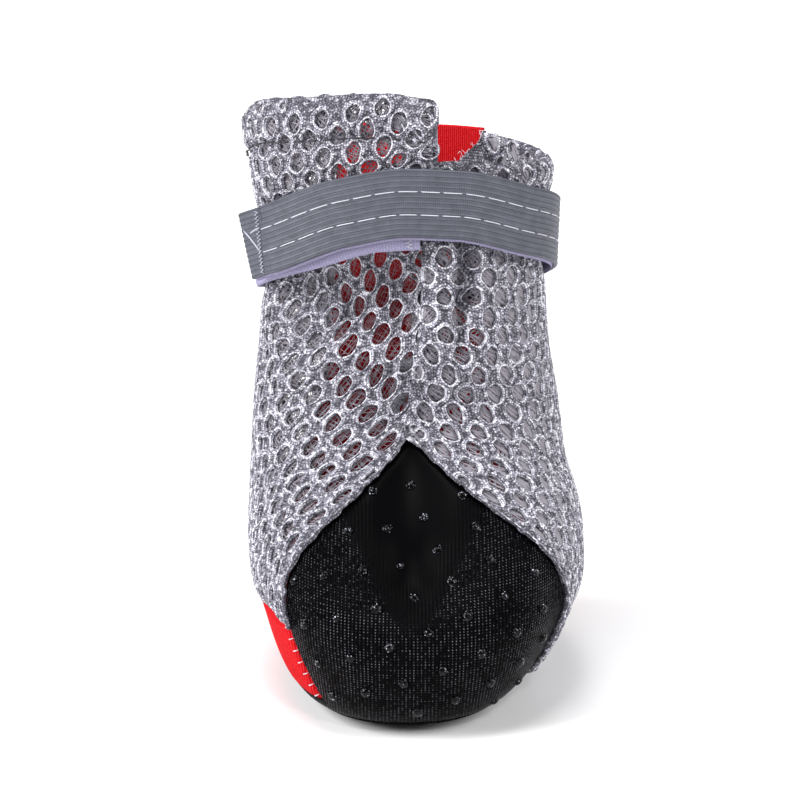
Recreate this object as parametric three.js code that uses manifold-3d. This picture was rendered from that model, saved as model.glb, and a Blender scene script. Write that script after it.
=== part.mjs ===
// Dog boot: a small soft boot of air mesh on a black grip-knit sole that wraps up over the toe,
// with a knit back panel, a front lap and a reflective strap. Millimetres, +Z up, toe to -Y.
// The origin is on the flat underside of the forefoot, below the middle of the boot.
import * as THREE from "three";
import Module from "manifold-3d";

const wasm = await Module();
wasm.setup();

// Driving dimensions.
const FOOT_LENGTH = 58.4;
const BALL_WIDTH = 49.6;
const INSTEP_HEIGHT = 41.4;
const COLLAR_HEIGHT = 88;
const SOLE_LIP = 3.4;
const ARCH_LIFT = 0.7;
const ARCH_LENGTH = 13;
const ARCH_MIDDLE = 8.5;
const SECTION_POWER = 2.25;

const SOLE_WALL = 1.8;
const MESH_WALL = 1.5;
const PANEL_WALL = 1.2;
const GAP = 0.3;
const SEAM_SLANT = 1.9;

const STRAP_WIDTH = 10;
const STRAP_THICKNESS = 1.2;
const BASE_THICKNESS = 0.8;
const INSOLE_THICKNESS = 1;

// Level sections. up is a share of the instep height in the foot, and of the shaft above it in the
// shaft. front, back and widest are shares of the foot's length, left and right of the ball width.
const FOOT_SECTIONS = [
  { up: 0.0, front: -0.34, back: 0.37, widest: 0.0, left: -0.27, right: 0.28 },
  { up: 0.03, front: -0.4, back: 0.42, widest: 0.0, left: -0.32, right: 0.33 },
  { up: 0.07, front: -0.445, back: 0.45, widest: 0.0, left: -0.35, right: 0.366 },
  { up: 0.145, front: -0.475, back: 0.478, widest: 0.0, left: -0.385, right: 0.416 },
  { up: 0.29, front: -0.495, back: 0.5, widest: 0.017, left: -0.427, right: 0.485 },
  { up: 0.435, front: -0.483, back: 0.502, widest: 0.05, left: -0.46, right: 0.532 },
  { up: 0.555, front: -0.44, back: 0.497, widest: 0.085, left: -0.466, right: 0.53 },
  { up: 0.675, front: -0.36, back: 0.49, widest: 0.12, left: -0.464, right: 0.51 },
  { up: 0.8, front: -0.26, back: 0.486, widest: 0.155, left: -0.458, right: 0.482 },
  { up: 0.925, front: -0.155, back: 0.487, widest: 0.188, left: -0.452, right: 0.455 },
  { up: 1.0, front: -0.115, back: 0.491, widest: 0.198, left: -0.448, right: 0.442 },
];
const SHAFT_SECTIONS = [
  { up: 0.056, front: -0.09, back: 0.497, widest: 0.205, left: -0.444, right: 0.434 },
  { up: 0.185, front: -0.058, back: 0.51, widest: 0.223, left: -0.432, right: 0.424 },
  { up: 0.356, front: -0.021, back: 0.531, widest: 0.257, left: -0.424, right: 0.417 },
  { up: 0.528, front: 0.017, back: 0.555, widest: 0.291, left: -0.436, right: 0.421 },
  { up: 0.7, front: 0.055, back: 0.582, widest: 0.325, left: -0.462, right: 0.438 },
  { up: 0.871, front: 0.091, back: 0.606, widest: 0.351, left: -0.482, right: 0.45 },
  { up: 1.0, front: 0.116, back: 0.625, widest: 0.368, left: -0.49, right: 0.456 },
];

// The toe cap's seam. turn is the angle round the boot from the toe, positive to the right.
const CAP_SEAM_LEFT = [
  { up: SOLE_LIP, turn: -30 },
  { up: 9, turn: -34.5 },
  { up: 15, turn: -37.5 },
  { up: 19.5, turn: -38 },
  { up: 26, turn: -32 },
  { up: 34, turn: -17 },
  { up: INSTEP_HEIGHT, turn: 2 },
];
const CAP_SEAM_RIGHT = [
  { up: SOLE_LIP, turn: 63 },
  { up: 9, turn: 60 },
  { up: 15, turn: 58 },
  { up: 19.5, turn: 54 },
  { up: 26, turn: 42 },
  { up: 34, turn: 23 },
  { up: INSTEP_HEIGHT, turn: 3 },
];

// Height at which the cap's grid turns from its seam's foot to its seam's flank.
const CAP_CORNER_UP = 17;

// The front lap. left and right are the turns of the two free edges, and over is 1 where the left
// flap lies on the right one, -1 where it lies under it and 0 where they only meet.
const LAP = [
  { up: INSTEP_HEIGHT + 1.3, left: 5, right: 0, over: 0 },
  { up: 48.5, left: 15, right: 4, over: -1 },
  { up: 60, left: 23, right: 9, over: -1 },
  { up: 66, left: 9, right: 11, over: -1 },
  { up: 70, left: 8.5, right: 11.5, over: 0 },
  { up: 74, left: 9, right: 11, over: 1 },
  { up: 77, left: 17, right: -10, over: 1 },
  { up: COLLAR_HEIGHT, left: 17, right: -10, over: 1 },
];
const LAP_FULL_TURN = 26;
const LAP_FADE_TURN = 62;

// Heights of the collar round each half. The rows above the start are stretched to meet it.
const REACH_START = 60;
const LEFT_COLLAR = [
  { turn: -220, up: 76 },
  { turn: -142, up: 76.5 },
  { turn: -95, up: 81 },
  { turn: -62, up: 86 },
  { turn: -15, up: 87.8 },
  { turn: 20, up: 86.8 },
];
const RIGHT_COLLAR = [
  { turn: -15, up: 78 },
  { turn: 25, up: 78.2 },
  { turn: 60, up: 76.6 },
  { turn: 95, up: 74.8 },
  { turn: 150, up: 75.6 },
  { turn: 220, up: 76 },
];

// The back panel runs down the back and, low on the left, forward to the toe cap.
const PANEL_RIGHT_TURN = 136;
const PANEL_FORWARD_TOP = 15;
const PANEL_LEFT_EDGE = [
  { up: PANEL_FORWARD_TOP + 2 * GAP, turn: -100 },
  { up: 18, turn: -117 },
  { up: 22, turn: -130 },
  { up: 30, turn: -138 },
  { up: 45, turn: -142 },
  { up: COLLAR_HEIGHT, turn: -142 },
];

// Middle line of the strap and of the loop tape under it. off is how far the inner face stands off.
const STRAP_LINE = [
  { turn: 181, up: 55, off: 0.3 },
  { turn: 150, up: 56.3, off: 0.5 },
  { turn: 120, up: 59.6, off: 0.6 },
  { turn: 92, up: 63.6, off: 0.8 },
  { turn: 60, up: 68.2, off: 1.6 },
  { turn: 25, up: 71.8, off: 2.3 },
  { turn: 0, up: 72.2, off: 2.3 },
  { turn: -30, up: 70.6, off: 2.3 },
  { turn: -62, up: 65.6, off: 2.3 },
];
const STRAP_FREE_LENGTH = 4.2;
const STRAP_FREE_TWIST = 12;
const BASE_LINE = [
  { turn: -172, up: 56, off: 0.3 },
  { turn: -130, up: 57.5, off: 0.4 },
  { turn: -90, up: 61, off: 0.5 },
  { turn: -50, up: 66.5, off: 0.8 },
  { turn: -15, up: 70.1, off: 1.2 },
  { turn: 7, up: 70.5, off: 1.2 },
];

const HALF_ROWS = 25;

const lerp = THREE.MathUtils.lerp;
const clamp = THREE.MathUtils.clamp;
const smoothstep = THREE.MathUtils.smoothstep;

/** A column of a table at a key, as a monotone cubic through its rows. */
function along(table, key, column, value) {
  const last = table.length - 1;
  const rising = table[last][key] > table[0][key];
  const rows = rising ? table : [...table].reverse();
  const at = clamp(value, rows[0][key], rows[last][key]);
  let i = 0;
  while (i < last - 1 && at > rows[i + 1][key]) i += 1;
  const slope = (k) => (rows[k + 1][column] - rows[k][column]) / (rows[k + 1][key] - rows[k][key]);
  const tangent = (k) => {
    if (k === 0) return slope(0);
    if (k === last) return slope(last - 1);
    const before = slope(k - 1);
    const after = slope(k);
    return before * after <= 0 ? 0 : (2 * before * after) / (before + after);
  };
  const step = rows[i + 1][key] - rows[i][key];
  const t = (at - rows[i][key]) / step;
  const rise = rows[i + 1][column] - rows[i][column];
  const a = tangent(i) * step;
  const b = tangent(i + 1) * step;
  return rows[i][column] + t * (a + t * (3 * rise - 2 * a - b + t * (a + b - 2 * rise)));
}

const SECTIONS = [
  ...FOOT_SECTIONS.map((row) => ({ ...row, up: row.up * INSTEP_HEIGHT })),
  ...SHAFT_SECTIONS.map((row) => ({ ...row, up: lerp(INSTEP_HEIGHT, COLLAR_HEIGHT, row.up) })),
];

/** The boot's outer surface at a turn and a height. */
function surface(turn, up) {
  const size = (column) => along(SECTIONS, "up", column, up);
  const angle = THREE.MathUtils.degToRad(turn);
  const across = Math.sin(angle);
  const ahead = Math.cos(angle);
  const widest = size("widest") * FOOT_LENGTH;
  const half = (across > 0 ? size("right") : -size("left")) * BALL_WIDTH;
  const reach = ahead > 0 ? widest - size("front") * FOOT_LENGTH : size("back") * FOOT_LENGTH - widest;
  const power = SECTION_POWER;
  const radius = (Math.abs(across / half) ** power + Math.abs(ahead / reach) ** power) ** (-1 / power);
  return new THREE.Vector3(radius * across, widest - radius * ahead, up);
}

/** A point some depth inside that surface, along its normal. */
function skin(turn, up, depth) {
  const low = clamp(up - 0.4, 0, COLLAR_HEIGHT);
  const high = clamp(up + 0.4, 0, COLLAR_HEIGHT);
  const round = surface(turn + 1, up).sub(surface(turn - 1, up));
  const rise = surface(turn, high).sub(surface(turn, low));
  const normal = round.cross(rise).normalize();
  return surface(turn, up).addScaledVector(normal, -depth);
}

/** How far the underside lifts between the ball and the heel. */
function archLift(point) {
  return ARCH_LIFT * (1 - smoothstep(Math.abs(point.y - ARCH_MIDDLE), 0, ARCH_LENGTH / 2));
}

/** The sole's bottom with its arch, which fades out between the inside of the sole and the lip. */
function arched(point) {
  const low = 1 - smoothstep(point.z, SOLE_WALL, SOLE_LIP);
  return point.setZ(point.z + archLift(point) * low);
}

/** A closed solid from a grid of cells with an outer and an inner layer, walled at every edge. */
function shell(rows, columns, place, present = () => true, wraps = false) {
  const points = [];
  const faces = [];
  const found = new Map();
  const vertex = (row, column, layer) => {
    const point = place(row, wraps ? (column + columns) % columns : column, layer);
    const key = [point.x, point.y, point.z].map((v) => Math.round(v * 1e4)).join();
    if (!found.has(key)) {
      found.set(key, points.length / 3);
      points.push(point.x, point.y, point.z);
    }
    return found.get(key);
  };
  const triangle = (a, b, c) => {
    if (a !== b && b !== c && c !== a) faces.push(a, b, c);
  };
  const quad = (a, b, c, d) => {
    triangle(a, b, c);
    triangle(a, c, d);
  };
  const filled = (row, column) => {
    const inside = wraps || (column >= 0 && column < columns);
    return inside && row >= 0 && row < rows && present(row, (column + columns) % columns);
  };
  for (let row = 0; row < rows; row += 1) {
    for (let column = 0; column < columns; column += 1) {
      if (!filled(row, column)) continue;
      const corners = [[row, column], [row, column + 1], [row + 1, column + 1], [row + 1, column]];
      const outer = corners.map(([r, c]) => vertex(r, c, 0));
      const inner = corners.map(([r, c]) => vertex(r, c, 1));
      quad(...outer);
      quad(...[...inner].reverse());
      const beyond = [[row - 1, column], [row, column + 1], [row + 1, column], [row, column - 1]];
      beyond.forEach(([r, c], side) => {
        const next = (side + 1) % 4;
        if (!filled(r, c)) quad(outer[next], outer[side], inner[side], inner[next]);
      });
    }
  }
  const geometry = new THREE.BufferGeometry();
  geometry.setAttribute("position", new THREE.Float32BufferAttribute(points, 3));
  geometry.setIndex(faces);
  return geometry;
}

function toSolid(geometry) {
  const vertProperties = new Float32Array(geometry.attributes.position.array);
  const triVerts = new Uint32Array(geometry.index.array);
  return new wasm.Manifold(new wasm.Mesh({ numProp: 3, vertProperties, triVerts }));
}

function toGeometry(solid) {
  const mesh = solid.getMesh();
  const geometry = new THREE.BufferGeometry();
  geometry.setAttribute("position", new THREE.BufferAttribute(mesh.vertProperties.slice(), 3));
  geometry.setIndex(new THREE.BufferAttribute(mesh.triVerts.slice(), 1));
  return geometry;
}

const group = new THREE.Group();

function add(name, geometry, color, roughness) {
  geometry.computeVertexNormals();
  const material = new THREE.MeshStandardMaterial({ color, roughness, metalness: 0 });
  const mesh = new THREE.Mesh(geometry, material);
  mesh.name = name;
  group.add(mesh);
}

/** Sole and toe cap in one: a flat bottom, a low lip all round, and the cap up over the toe. */
function sole() {
  const capColumns = 30;
  const heelColumns = 24;
  const bottomRows = 5;
  const lipRows = 3;
  const capRows = 12;
  const lipRow = bottomRows + lipRows;
  const leftFoot = CAP_SEAM_LEFT[0].turn;
  const rightFoot = CAP_SEAM_RIGHT[0].turn;

  const seamPoint = (share) => {
    const side = share < 0.5 ? CAP_SEAM_LEFT : CAP_SEAM_RIGHT;
    const rise = 1 - Math.abs(2 * share - 1);
    const up = lerp(CAP_CORNER_UP, INSTEP_HEIGHT, rise);
    return { up, turn: along(side, "up", "turn", up) };
  };
  const turnAt = (column) =>
    column <= capColumns
      ? lerp(leftFoot, rightFoot, column / capColumns)
      : lerp(rightFoot, leftFoot + 360, (column - capColumns) / heelColumns);
  const capPoint = (row, column) => {
    const share = column / capColumns;
    const rise = (row - lipRow) / capRows;
    const seam = seamPoint(share);
    const up = lerp(SOLE_LIP, seam.up, rise);
    const foot = turnAt(column);
    const edge = share < 0.5 ? CAP_SEAM_LEFT : CAP_SEAM_RIGHT;
    const straight = lerp(foot, seam.turn, rise);
    const bow = along(edge, "up", "turn", up) - lerp(edge[0].turn, seam.turn, rise);
    return { up, turn: straight + bow * Math.abs(2 * share - 1) ** 6 };
  };
  const place = (row, column, layer) => {
    const depth = layer * SOLE_WALL;
    if (row > lipRow) {
      const point = capPoint(row, column);
      return skin(point.turn, point.up, depth);
    }
    const turn = turnAt(column);
    if (row > bottomRows) {
      const rise = (row - bottomRows) / lipRows;
      const outer = skin(turn, SOLE_LIP * rise, 0);
      const inner = skin(turn, lerp(SOLE_WALL, SOLE_LIP, rise), SOLE_WALL);
      return arched(layer ? inner : outer);
    }
    const share = row / bottomRows;
    const rim = layer ? skin(turn, SOLE_WALL, SOLE_WALL) : surface(turn, 0);
    return arched(new THREE.Vector3(rim.x * share, rim.y * share, layer * SOLE_WALL));
  };
  const present = (row, column) => row < lipRow || column < capColumns;
  return shell(lipRow + capRows, capColumns + heelColumns, place, present, true);
}

/** Height of a row of the upper, stretched near the top to reach the collar. */
function reach(up, turn, collar) {
  const share = clamp((up - REACH_START) / (COLLAR_HEIGHT - REACH_START), 0, 1);
  return up + share * (along(collar, "turn", "up", turn) - COLLAR_HEIGHT);
}

/** Turn that keeps the gap beside a seam that runs at a slant. */
function beside(turn, up, side) {
  const point = surface(turn, up);
  const radius = Math.hypot(point.x, point.y - surface(90, up).y);
  return turn + THREE.MathUtils.radToDeg((side * SEAM_SLANT * GAP) / radius);
}

/** Heights of the rows of one half of the upper, from its bottom seam up. side is -1 left, 1 right. */
function levels(side) {
  const bottom = (side < 0 ? PANEL_FORWARD_TOP : SOLE_LIP) + SEAM_SLANT * GAP;
  const peak = LAP[0].up;
  const footRows = side < 0 ? 11 : 14;
  const heights = [];
  for (let row = 0; row <= HALF_ROWS; row += 1) {
    const above = (row - footRows) / (HALF_ROWS - footRows);
    heights.push(above <= 0 ? lerp(bottom, peak, row / footRows) : lerp(peak, COLLAR_HEIGHT, above));
  }
  return heights;
}

/** One half of the upper, from its lap edge round to the back panel. */
function half(side) {
  const columns = 20;
  const seam = side < 0 ? CAP_SEAM_LEFT : CAP_SEAM_RIGHT;
  const collar = side < 0 ? LEFT_COLLAR : RIGHT_COLLAR;
  const lapEdge = side < 0 ? "left" : "right";
  const heights = levels(side);
  const front = (up) =>
    up < LAP[0].up
      ? beside(along(seam, "up", "turn", up), up, side)
      : along(LAP, "up", lapEdge, up);
  const back = (up) =>
    side < 0
      ? beside(along(PANEL_LEFT_EDGE, "up", "turn", up), up, 1)
      : beside(PANEL_RIGHT_TURN, up, -1);
  const place = (row, column, layer) => {
    const level = heights[row];
    const share = side < 0 ? 1 - column / columns : column / columns;
    const turn = lerp(front(level), back(level), share);
    const up = reach(level, turn, collar);
    const over = along(LAP, "up", "over", Math.min(level, up));
    const fade = 1 - smoothstep(Math.abs(turn), LAP_FULL_TURN, LAP_FADE_TURN);
    const shift = (side * over * fade * (MESH_WALL + GAP)) / 2;
    return skin(turn, up, shift + layer * MESH_WALL);
  };
  return shell(HALF_ROWS, columns, place);
}

function upper() {
  return toGeometry(toSolid(half(-1)).add(toSolid(half(1))));
}

/**
 * The back panel as a bent strip, across from its lower right edge to its upper left one: down the
 * back beside the two halves, round the heel as a fan from its inner corner, and forward to the cap.
 */
function backPanel() {
  const rows = 10;
  const fanColumns = 9;
  const forwardColumns = 9;
  const columns = HALF_ROWS + fanColumns + forwardColumns;
  const foot = SOLE_LIP + SEAM_SLANT * GAP;
  const corner = { up: PANEL_FORWARD_TOP, turn: PANEL_LEFT_EDGE[0].turn };
  const rightTurn = PANEL_RIGHT_TURN - 360;
  const leftLevels = levels(-1);
  const rightLevels = levels(1);
  const capTurn = (up) => beside(along(CAP_SEAM_LEFT, "up", "turn", up), up, -1);
  const edges = (column) => {
    if (column <= HALF_ROWS) {
      const up = leftLevels[HALF_ROWS - column];
      const left = { up, turn: along(PANEL_LEFT_EDGE, "up", "turn", up) };
      return [{ up: rightLevels[HALF_ROWS - column], turn: rightTurn }, left];
    }
    const round = Math.min(1, (column - HALF_ROWS) / fanColumns);
    const low = lerp(rightTurn, corner.turn, round);
    return [{ up: foot, turn: low }, { up: corner.up, turn: corner.turn }];
  };
  const place = (row, column, layer) => {
    const [right, left] = edges(column);
    const level = lerp(right.up, left.up, row / rows);
    const forward = Math.max(0, (column - HALF_ROWS - fanColumns) / forwardColumns);
    const turn = lerp(lerp(right.turn, left.turn, row / rows), capTurn(level), forward);
    return skin(turn, reach(level, turn, LEFT_COLLAR), layer * PANEL_WALL);
  };
  return shell(rows, columns, place);
}

/** A flat band along a line of points, each with its width and outward directions. */
function band(stations, width, thickness) {
  const place = (row, column, layer) => {
    const { point, across, outward } = stations[column];
    const offset = across.clone().multiplyScalar((row / 2 - 0.5) * width);
    return point.clone().add(offset).addScaledVector(outward, (1 - layer) * thickness);
  };
  return shell(2, stations.length - 1, place);
}

/** Stations of a band that lies round the boot, off its surface by the line's off. */
function wrapped(line, count) {
  const turns = line.map((row) => row.turn);
  const first = Math.min(...turns);
  const last = Math.max(...turns);
  const at = (share) => {
    const turn = lerp(first, last, share);
    const up = along(line, "turn", "up", turn);
    return { turn, up, point: skin(turn, up, -along(line, "turn", "off", turn)) };
  };
  const stations = [];
  for (let i = 0; i <= count; i += 1) {
    const here = at(i / count);
    const ahead = at(Math.min(1, (i + 0.5) / count)).point;
    const behind = at(Math.max(0, (i - 0.5) / count)).point;
    const rise = surface(here.turn, here.up + 3).sub(surface(here.turn, here.up - 3));
    const heading = ahead.sub(behind);
    const outward = heading.clone().cross(rise).normalize();
    const across = outward.clone().cross(heading).normalize();
    stations.push({ point: here.point, across, outward });
  }
  return stations;
}

/** The strap: sewn on at the back, round the right side and the front, with a free end that twists. */
function strap() {
  const stations = wrapped(STRAP_LINE, 48);
  const freeSteps = 5;
  const start = stations[0];
  const heading = start.point.clone().sub(stations[1].point).normalize();
  for (let i = 1; i <= freeSteps; i += 1) {
    const share = i / freeSteps;
    const point = start.point.clone().addScaledVector(heading, share * STRAP_FREE_LENGTH);
    const twist = THREE.MathUtils.degToRad(share * STRAP_FREE_TWIST);
    const across = start.across.clone().applyAxisAngle(start.outward, twist);
    stations.unshift({ point, across, outward: start.outward });
  }
  return band(stations, STRAP_WIDTH, STRAP_THICKNESS);
}

/** The insole lies on the sole inside, clear of the walls. */
function insole() {
  const rings = 5;
  const columns = 40;
  const low = SOLE_WALL + GAP;
  const inset = SOLE_WALL + 6 * GAP;
  const place = (row, column, layer) => {
    const turn = (360 * column) / columns;
    const rim = skin(turn, low, inset);
    const share = row / rings;
    const top = low + INSOLE_THICKNESS;
    const point = new THREE.Vector3(rim.x * share, rim.y * share, layer ? top : low);
    return point.setZ(point.z + archLift(point));
  };
  return shell(rings, columns, place, undefined, true);
}

add("sole", sole(), 0x111114, 0.85);
add("upper", upper(), 0x96949e, 0.5);
add("back_panel", backPanel(), 0xde1618, 0.9);
add("strap", strap(), 0x585c66, 0.4);
add("strap_base", band(wrapped(BASE_LINE, 26), STRAP_WIDTH, BASE_THICKNESS), 0xafaccd, 0.8);
add("insole", insole(), 0x3a3a3e, 0.9);

export default group;
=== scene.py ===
"""Dog boot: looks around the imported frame. Tables and shapes are in millimetres, and meshes are in metres.

The boot's outer surface is a loft of level sections. A place on it is a turn, in degrees round the boot
from the toe (right is positive), and an up, the height over the floor.
"""

import math
from collections import namedtuple

import bmesh
import bpy
import numpy as np
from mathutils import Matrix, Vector


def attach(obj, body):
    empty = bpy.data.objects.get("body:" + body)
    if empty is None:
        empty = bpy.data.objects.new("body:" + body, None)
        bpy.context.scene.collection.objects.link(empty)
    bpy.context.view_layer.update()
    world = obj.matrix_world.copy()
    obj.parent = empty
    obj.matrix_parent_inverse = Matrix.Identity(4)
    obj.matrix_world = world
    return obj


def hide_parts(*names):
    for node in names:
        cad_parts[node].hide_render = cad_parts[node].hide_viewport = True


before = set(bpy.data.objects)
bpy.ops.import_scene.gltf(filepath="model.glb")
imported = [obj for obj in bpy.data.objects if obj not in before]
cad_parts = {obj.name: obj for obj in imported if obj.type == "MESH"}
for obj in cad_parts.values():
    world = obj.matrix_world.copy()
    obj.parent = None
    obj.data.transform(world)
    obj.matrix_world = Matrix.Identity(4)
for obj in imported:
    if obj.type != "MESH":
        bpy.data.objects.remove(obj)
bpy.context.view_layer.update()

MM = 0.001
FOOT_LENGTH = 58.4
BALL_WIDTH = 49.6
INSTEP_HEIGHT = 41.4
COLLAR_HEIGHT = 88.0
SOLE_LIP = 3.4
SOLE_WALL = 1.8
ARCH_LIFT = 0.7
ARCH_LENGTH = 13.0
ARCH_MIDDLE = 8.5
SECTION_POWER = 2.25


def table(names, *rows):
    """Rows of numbers as one array for each named column."""
    return dict(zip(names.split(), np.array(rows, float).T))


def stacked(low, high, key, start, end):
    """Two tables of shares on top of each other, as heights."""
    both = {name: np.concatenate([low[name], high[name]]) for name in low}
    both[key] = np.concatenate([low[key] * start, start + high[key] * (end - start)])
    return both


FOOT_SECTIONS = table(
    "up front back widest left right",
    (0.0, -0.34, 0.37, 0.0, -0.27, 0.28),
    (0.03, -0.4, 0.42, 0.0, -0.32, 0.33),
    (0.07, -0.445, 0.45, 0.0, -0.35, 0.366),
    (0.145, -0.475, 0.478, 0.0, -0.385, 0.416),
    (0.29, -0.495, 0.5, 0.017, -0.427, 0.485),
    (0.435, -0.483, 0.502, 0.05, -0.46, 0.532),
    (0.555, -0.44, 0.497, 0.085, -0.466, 0.53),
    (0.675, -0.36, 0.49, 0.12, -0.464, 0.51),
    (0.8, -0.26, 0.486, 0.155, -0.458, 0.482),
    (0.925, -0.155, 0.487, 0.188, -0.452, 0.455),
    (1.0, -0.115, 0.491, 0.198, -0.448, 0.442),
)
SHAFT_SECTIONS = table(
    "up front back widest left right",
    (0.056, -0.09, 0.497, 0.205, -0.444, 0.434),
    (0.185, -0.058, 0.51, 0.223, -0.432, 0.424),
    (0.356, -0.021, 0.531, 0.257, -0.424, 0.417),
    (0.528, 0.017, 0.555, 0.291, -0.436, 0.421),
    (0.7, 0.055, 0.582, 0.325, -0.462, 0.438),
    (0.871, 0.091, 0.606, 0.351, -0.482, 0.45),
    (1.0, 0.116, 0.625, 0.368, -0.49, 0.456),
)
SECTIONS = stacked(FOOT_SECTIONS, SHAFT_SECTIONS, "up", INSTEP_HEIGHT, COLLAR_HEIGHT)

CAP_SEAM_LEFT = table(
    "up turn",
    (SOLE_LIP, -30), (9, -34.5), (15, -37.5), (19.5, -38), (26, -32), (34, -17), (INSTEP_HEIGHT, 2),
)
CAP_SEAM_RIGHT = table(
    "up turn",
    (SOLE_LIP, 63), (9, 60), (15, 58), (19.5, 54), (26, 42), (34, 23), (INSTEP_HEIGHT, 3),
)
PEAK = INSTEP_HEIGHT + 1.3
LAP = table(
    "up left right over",
    (PEAK, 5, 0, 0),
    (48.5, 15, 4, -1),
    (60, 23, 9, -1),
    (66, 13, 9.5, -1),
    (70, 8.5, 11.5, 0),
    (74, 9, 11, 1),
    (77, 17, -10, 1),
    (COLLAR_HEIGHT, 17, -10, 1),
)
LAP_SHIFT = 1.15
LAP_FULL_TURN, LAP_FADE_TURN = 26, 62
LEFT_COLLAR = table("turn up", (-220, 76), (-142, 76.5), (-95, 81), (-62, 86), (-15, 87.8), (20, 86.8))
RIGHT_COLLAR = table("turn up", (-15, 78), (25, 78.2), (60, 76.6), (95, 74.8), (150, 75.6), (220, 76))
PANEL_RIGHT_TURN = 136.0
PANEL_FORWARD_TOP = 15.0
PANEL_LEFT_EDGE = table(
    "up turn",
    (PANEL_FORWARD_TOP + 0.6, -100), (18, -117), (22, -130), (30, -138), (45, -142), (COLLAR_HEIGHT, -142),
)
STRAP_LINE = table(
    "turn up off",
    (-62, 65.6, 2.3),
    (-30, 70.6, 2.3),
    (0, 72.2, 2.3),
    (25, 71.8, 2.3),
    (60, 68.2, 1.6),
    (92, 63.6, 0.8),
    (120, 59.6, 0.6),
    (150, 56.3, 0.5),
    (181, 55, 0.3),
)
BASE_LINE = table(
    "turn up off",
    (-172, 56, 0.3), (-130, 57.5, 0.4), (-90, 61, 0.5), (-50, 66.5, 0.8), (-15, 70.1, 1.2), (7, 70.5, 1.2),
)
STRAP_WIDTH, BASE_THICKNESS = 10.0, 0.8
# Heights of the strap's two layers over its line, and how far the lower one shows below the upper.
TAPE_TOP, TAPE_BOTTOM, RIB_HEIGHT = 1.05, 0.45, 0.12
BACKING_TOP, BACKING_DROP = 0.43, 0.3
STRAP_RIBS = 13
TACK_FROM_END = 3.4
STITCH, STITCH_GAP = 3.0, 0.12
STRAP_FREE_LENGTH, STRAP_FREE_TWIST = 4.2, 12.0

# Air mesh: two oval holes to each repeat, set like bricks.
HOLE_PITCH_ROUND, HOLE_PITCH_UP = 4.4, 5.7
HOLE_ROUND, HOLE_UP = 1.13, 1.42
MESH_BACK = 0.85
BACKING_DEPTH = 0.66
# How far the rows of holes climb for each millimetre to the right, low on the boot and at its top.
LEFT_CLIMB, LEFT_CLIMB_TOP = 0.42, 0.25
RIGHT_CLIMB = -0.1
HEM_DEPTH = 6.5
LAP_HEM_DEPTH = 5.5
FOLD_RADIUS = 0.95
YARN_LOOP = 0.35
COLLAR_TRIM, LAP_TRIM = 1.1, 0.8
HEM_LINE = HEM_DEPTH - COLLAR_TRIM
CAP_OVERLAP = 0.45

# The knit of the sole, taped across the cap and over its middle line, and the felt of the insole, in metres.
SOLE_CUT = (0.0705, 0.101)
INSOLE_CUT = (0.0295, 0.0465)

DOT_HEIGHT = 0.45
DOT_RADIUS = 0.85
DOT_PITCH = 6.0
DOT_LEAN = 20
DOT_ROWS = range(-9, 10)
# Where the lattice of dots starts on the cap, from the middle of the toe.
DOTS_ROUND, DOTS_UP = 1.3, 2.9
BEADS = 24
# A slanting direction that sets how a thread's round section is turned.
THREAD_GUIDE = np.array([0.3, -0.5, 0.8])
# The width of a strand of mesh yarn, and the boot's rough radius, which spreads a knit round it.
STRAND = 0.42
MM_PER_RADIAN = 22.0
# The height at which the cap's last column ends, and the height over which the back panel follows the collar.
CAP_SIDE_TOP = 17
STRETCH_FROM = 60.0
# Degrees between the stations of an ArcMap.
ARC_STEP = 2.0

CAMERA_TARGET, CAMERA_DISTANCE = Vector((-0.74, 4.0, 41.8)), 620.0
CAMERA_SPAN, CAMERA_TILT = 118.0, math.radians(18)

# ---------------------------------------------------------------- shape of the boot


def along(rows, key, column, at):
    """A column of a table at a key, as a monotone cubic through its rows."""
    x, y = rows[key], rows[column]
    slope = np.diff(y) / np.diff(x)
    before, after = slope[:-1], slope[1:]
    same = before * after > 0
    inner = np.where(same, 2 * before * after / np.where(same, before + after, 1), 0)
    tangent = np.concatenate([slope[:1], inner, slope[-1:]])
    at = np.clip(at, x[0], x[-1])
    i = np.clip(np.searchsorted(x, at) - 1, 0, len(x) - 2)
    step = x[i + 1] - x[i]
    t = (at - x[i]) / step
    rise = y[i + 1] - y[i]
    a, b = tangent[i] * step, tangent[i + 1] * step
    return y[i] + t * (a + t * (3 * rise - 2 * a - b + t * (a + b - 2 * rise)))


def smoothstep(x, low, high):
    """0 below low, 1 above high, and a smooth rise between them."""
    t = np.clip((x - low) / (high - low), 0, 1)
    return t * t * (3 - 2 * t)


def surface(turn, up):
    """Points of the boot's outer surface, before its folds."""
    turn, up = np.broadcast_arrays(np.asarray(turn, float), np.asarray(up, float))
    across, ahead = np.sin(np.radians(turn)), np.cos(np.radians(turn))
    size = {name: along(SECTIONS, "up", name, up) for name in SECTIONS if name != "up"}
    widest = size["widest"] * FOOT_LENGTH
    half = np.where(across > 0, size["right"], -size["left"]) * BALL_WIDTH
    reach = np.where(ahead > 0, widest - size["front"] * FOOT_LENGTH, size["back"] * FOOT_LENGTH - widest)
    power = SECTION_POWER
    radius = (np.abs(across / half) ** power + np.abs(ahead / reach) ** power) ** (-1 / power)
    return np.stack([radius * across, widest - radius * ahead, up], -1)


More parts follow.
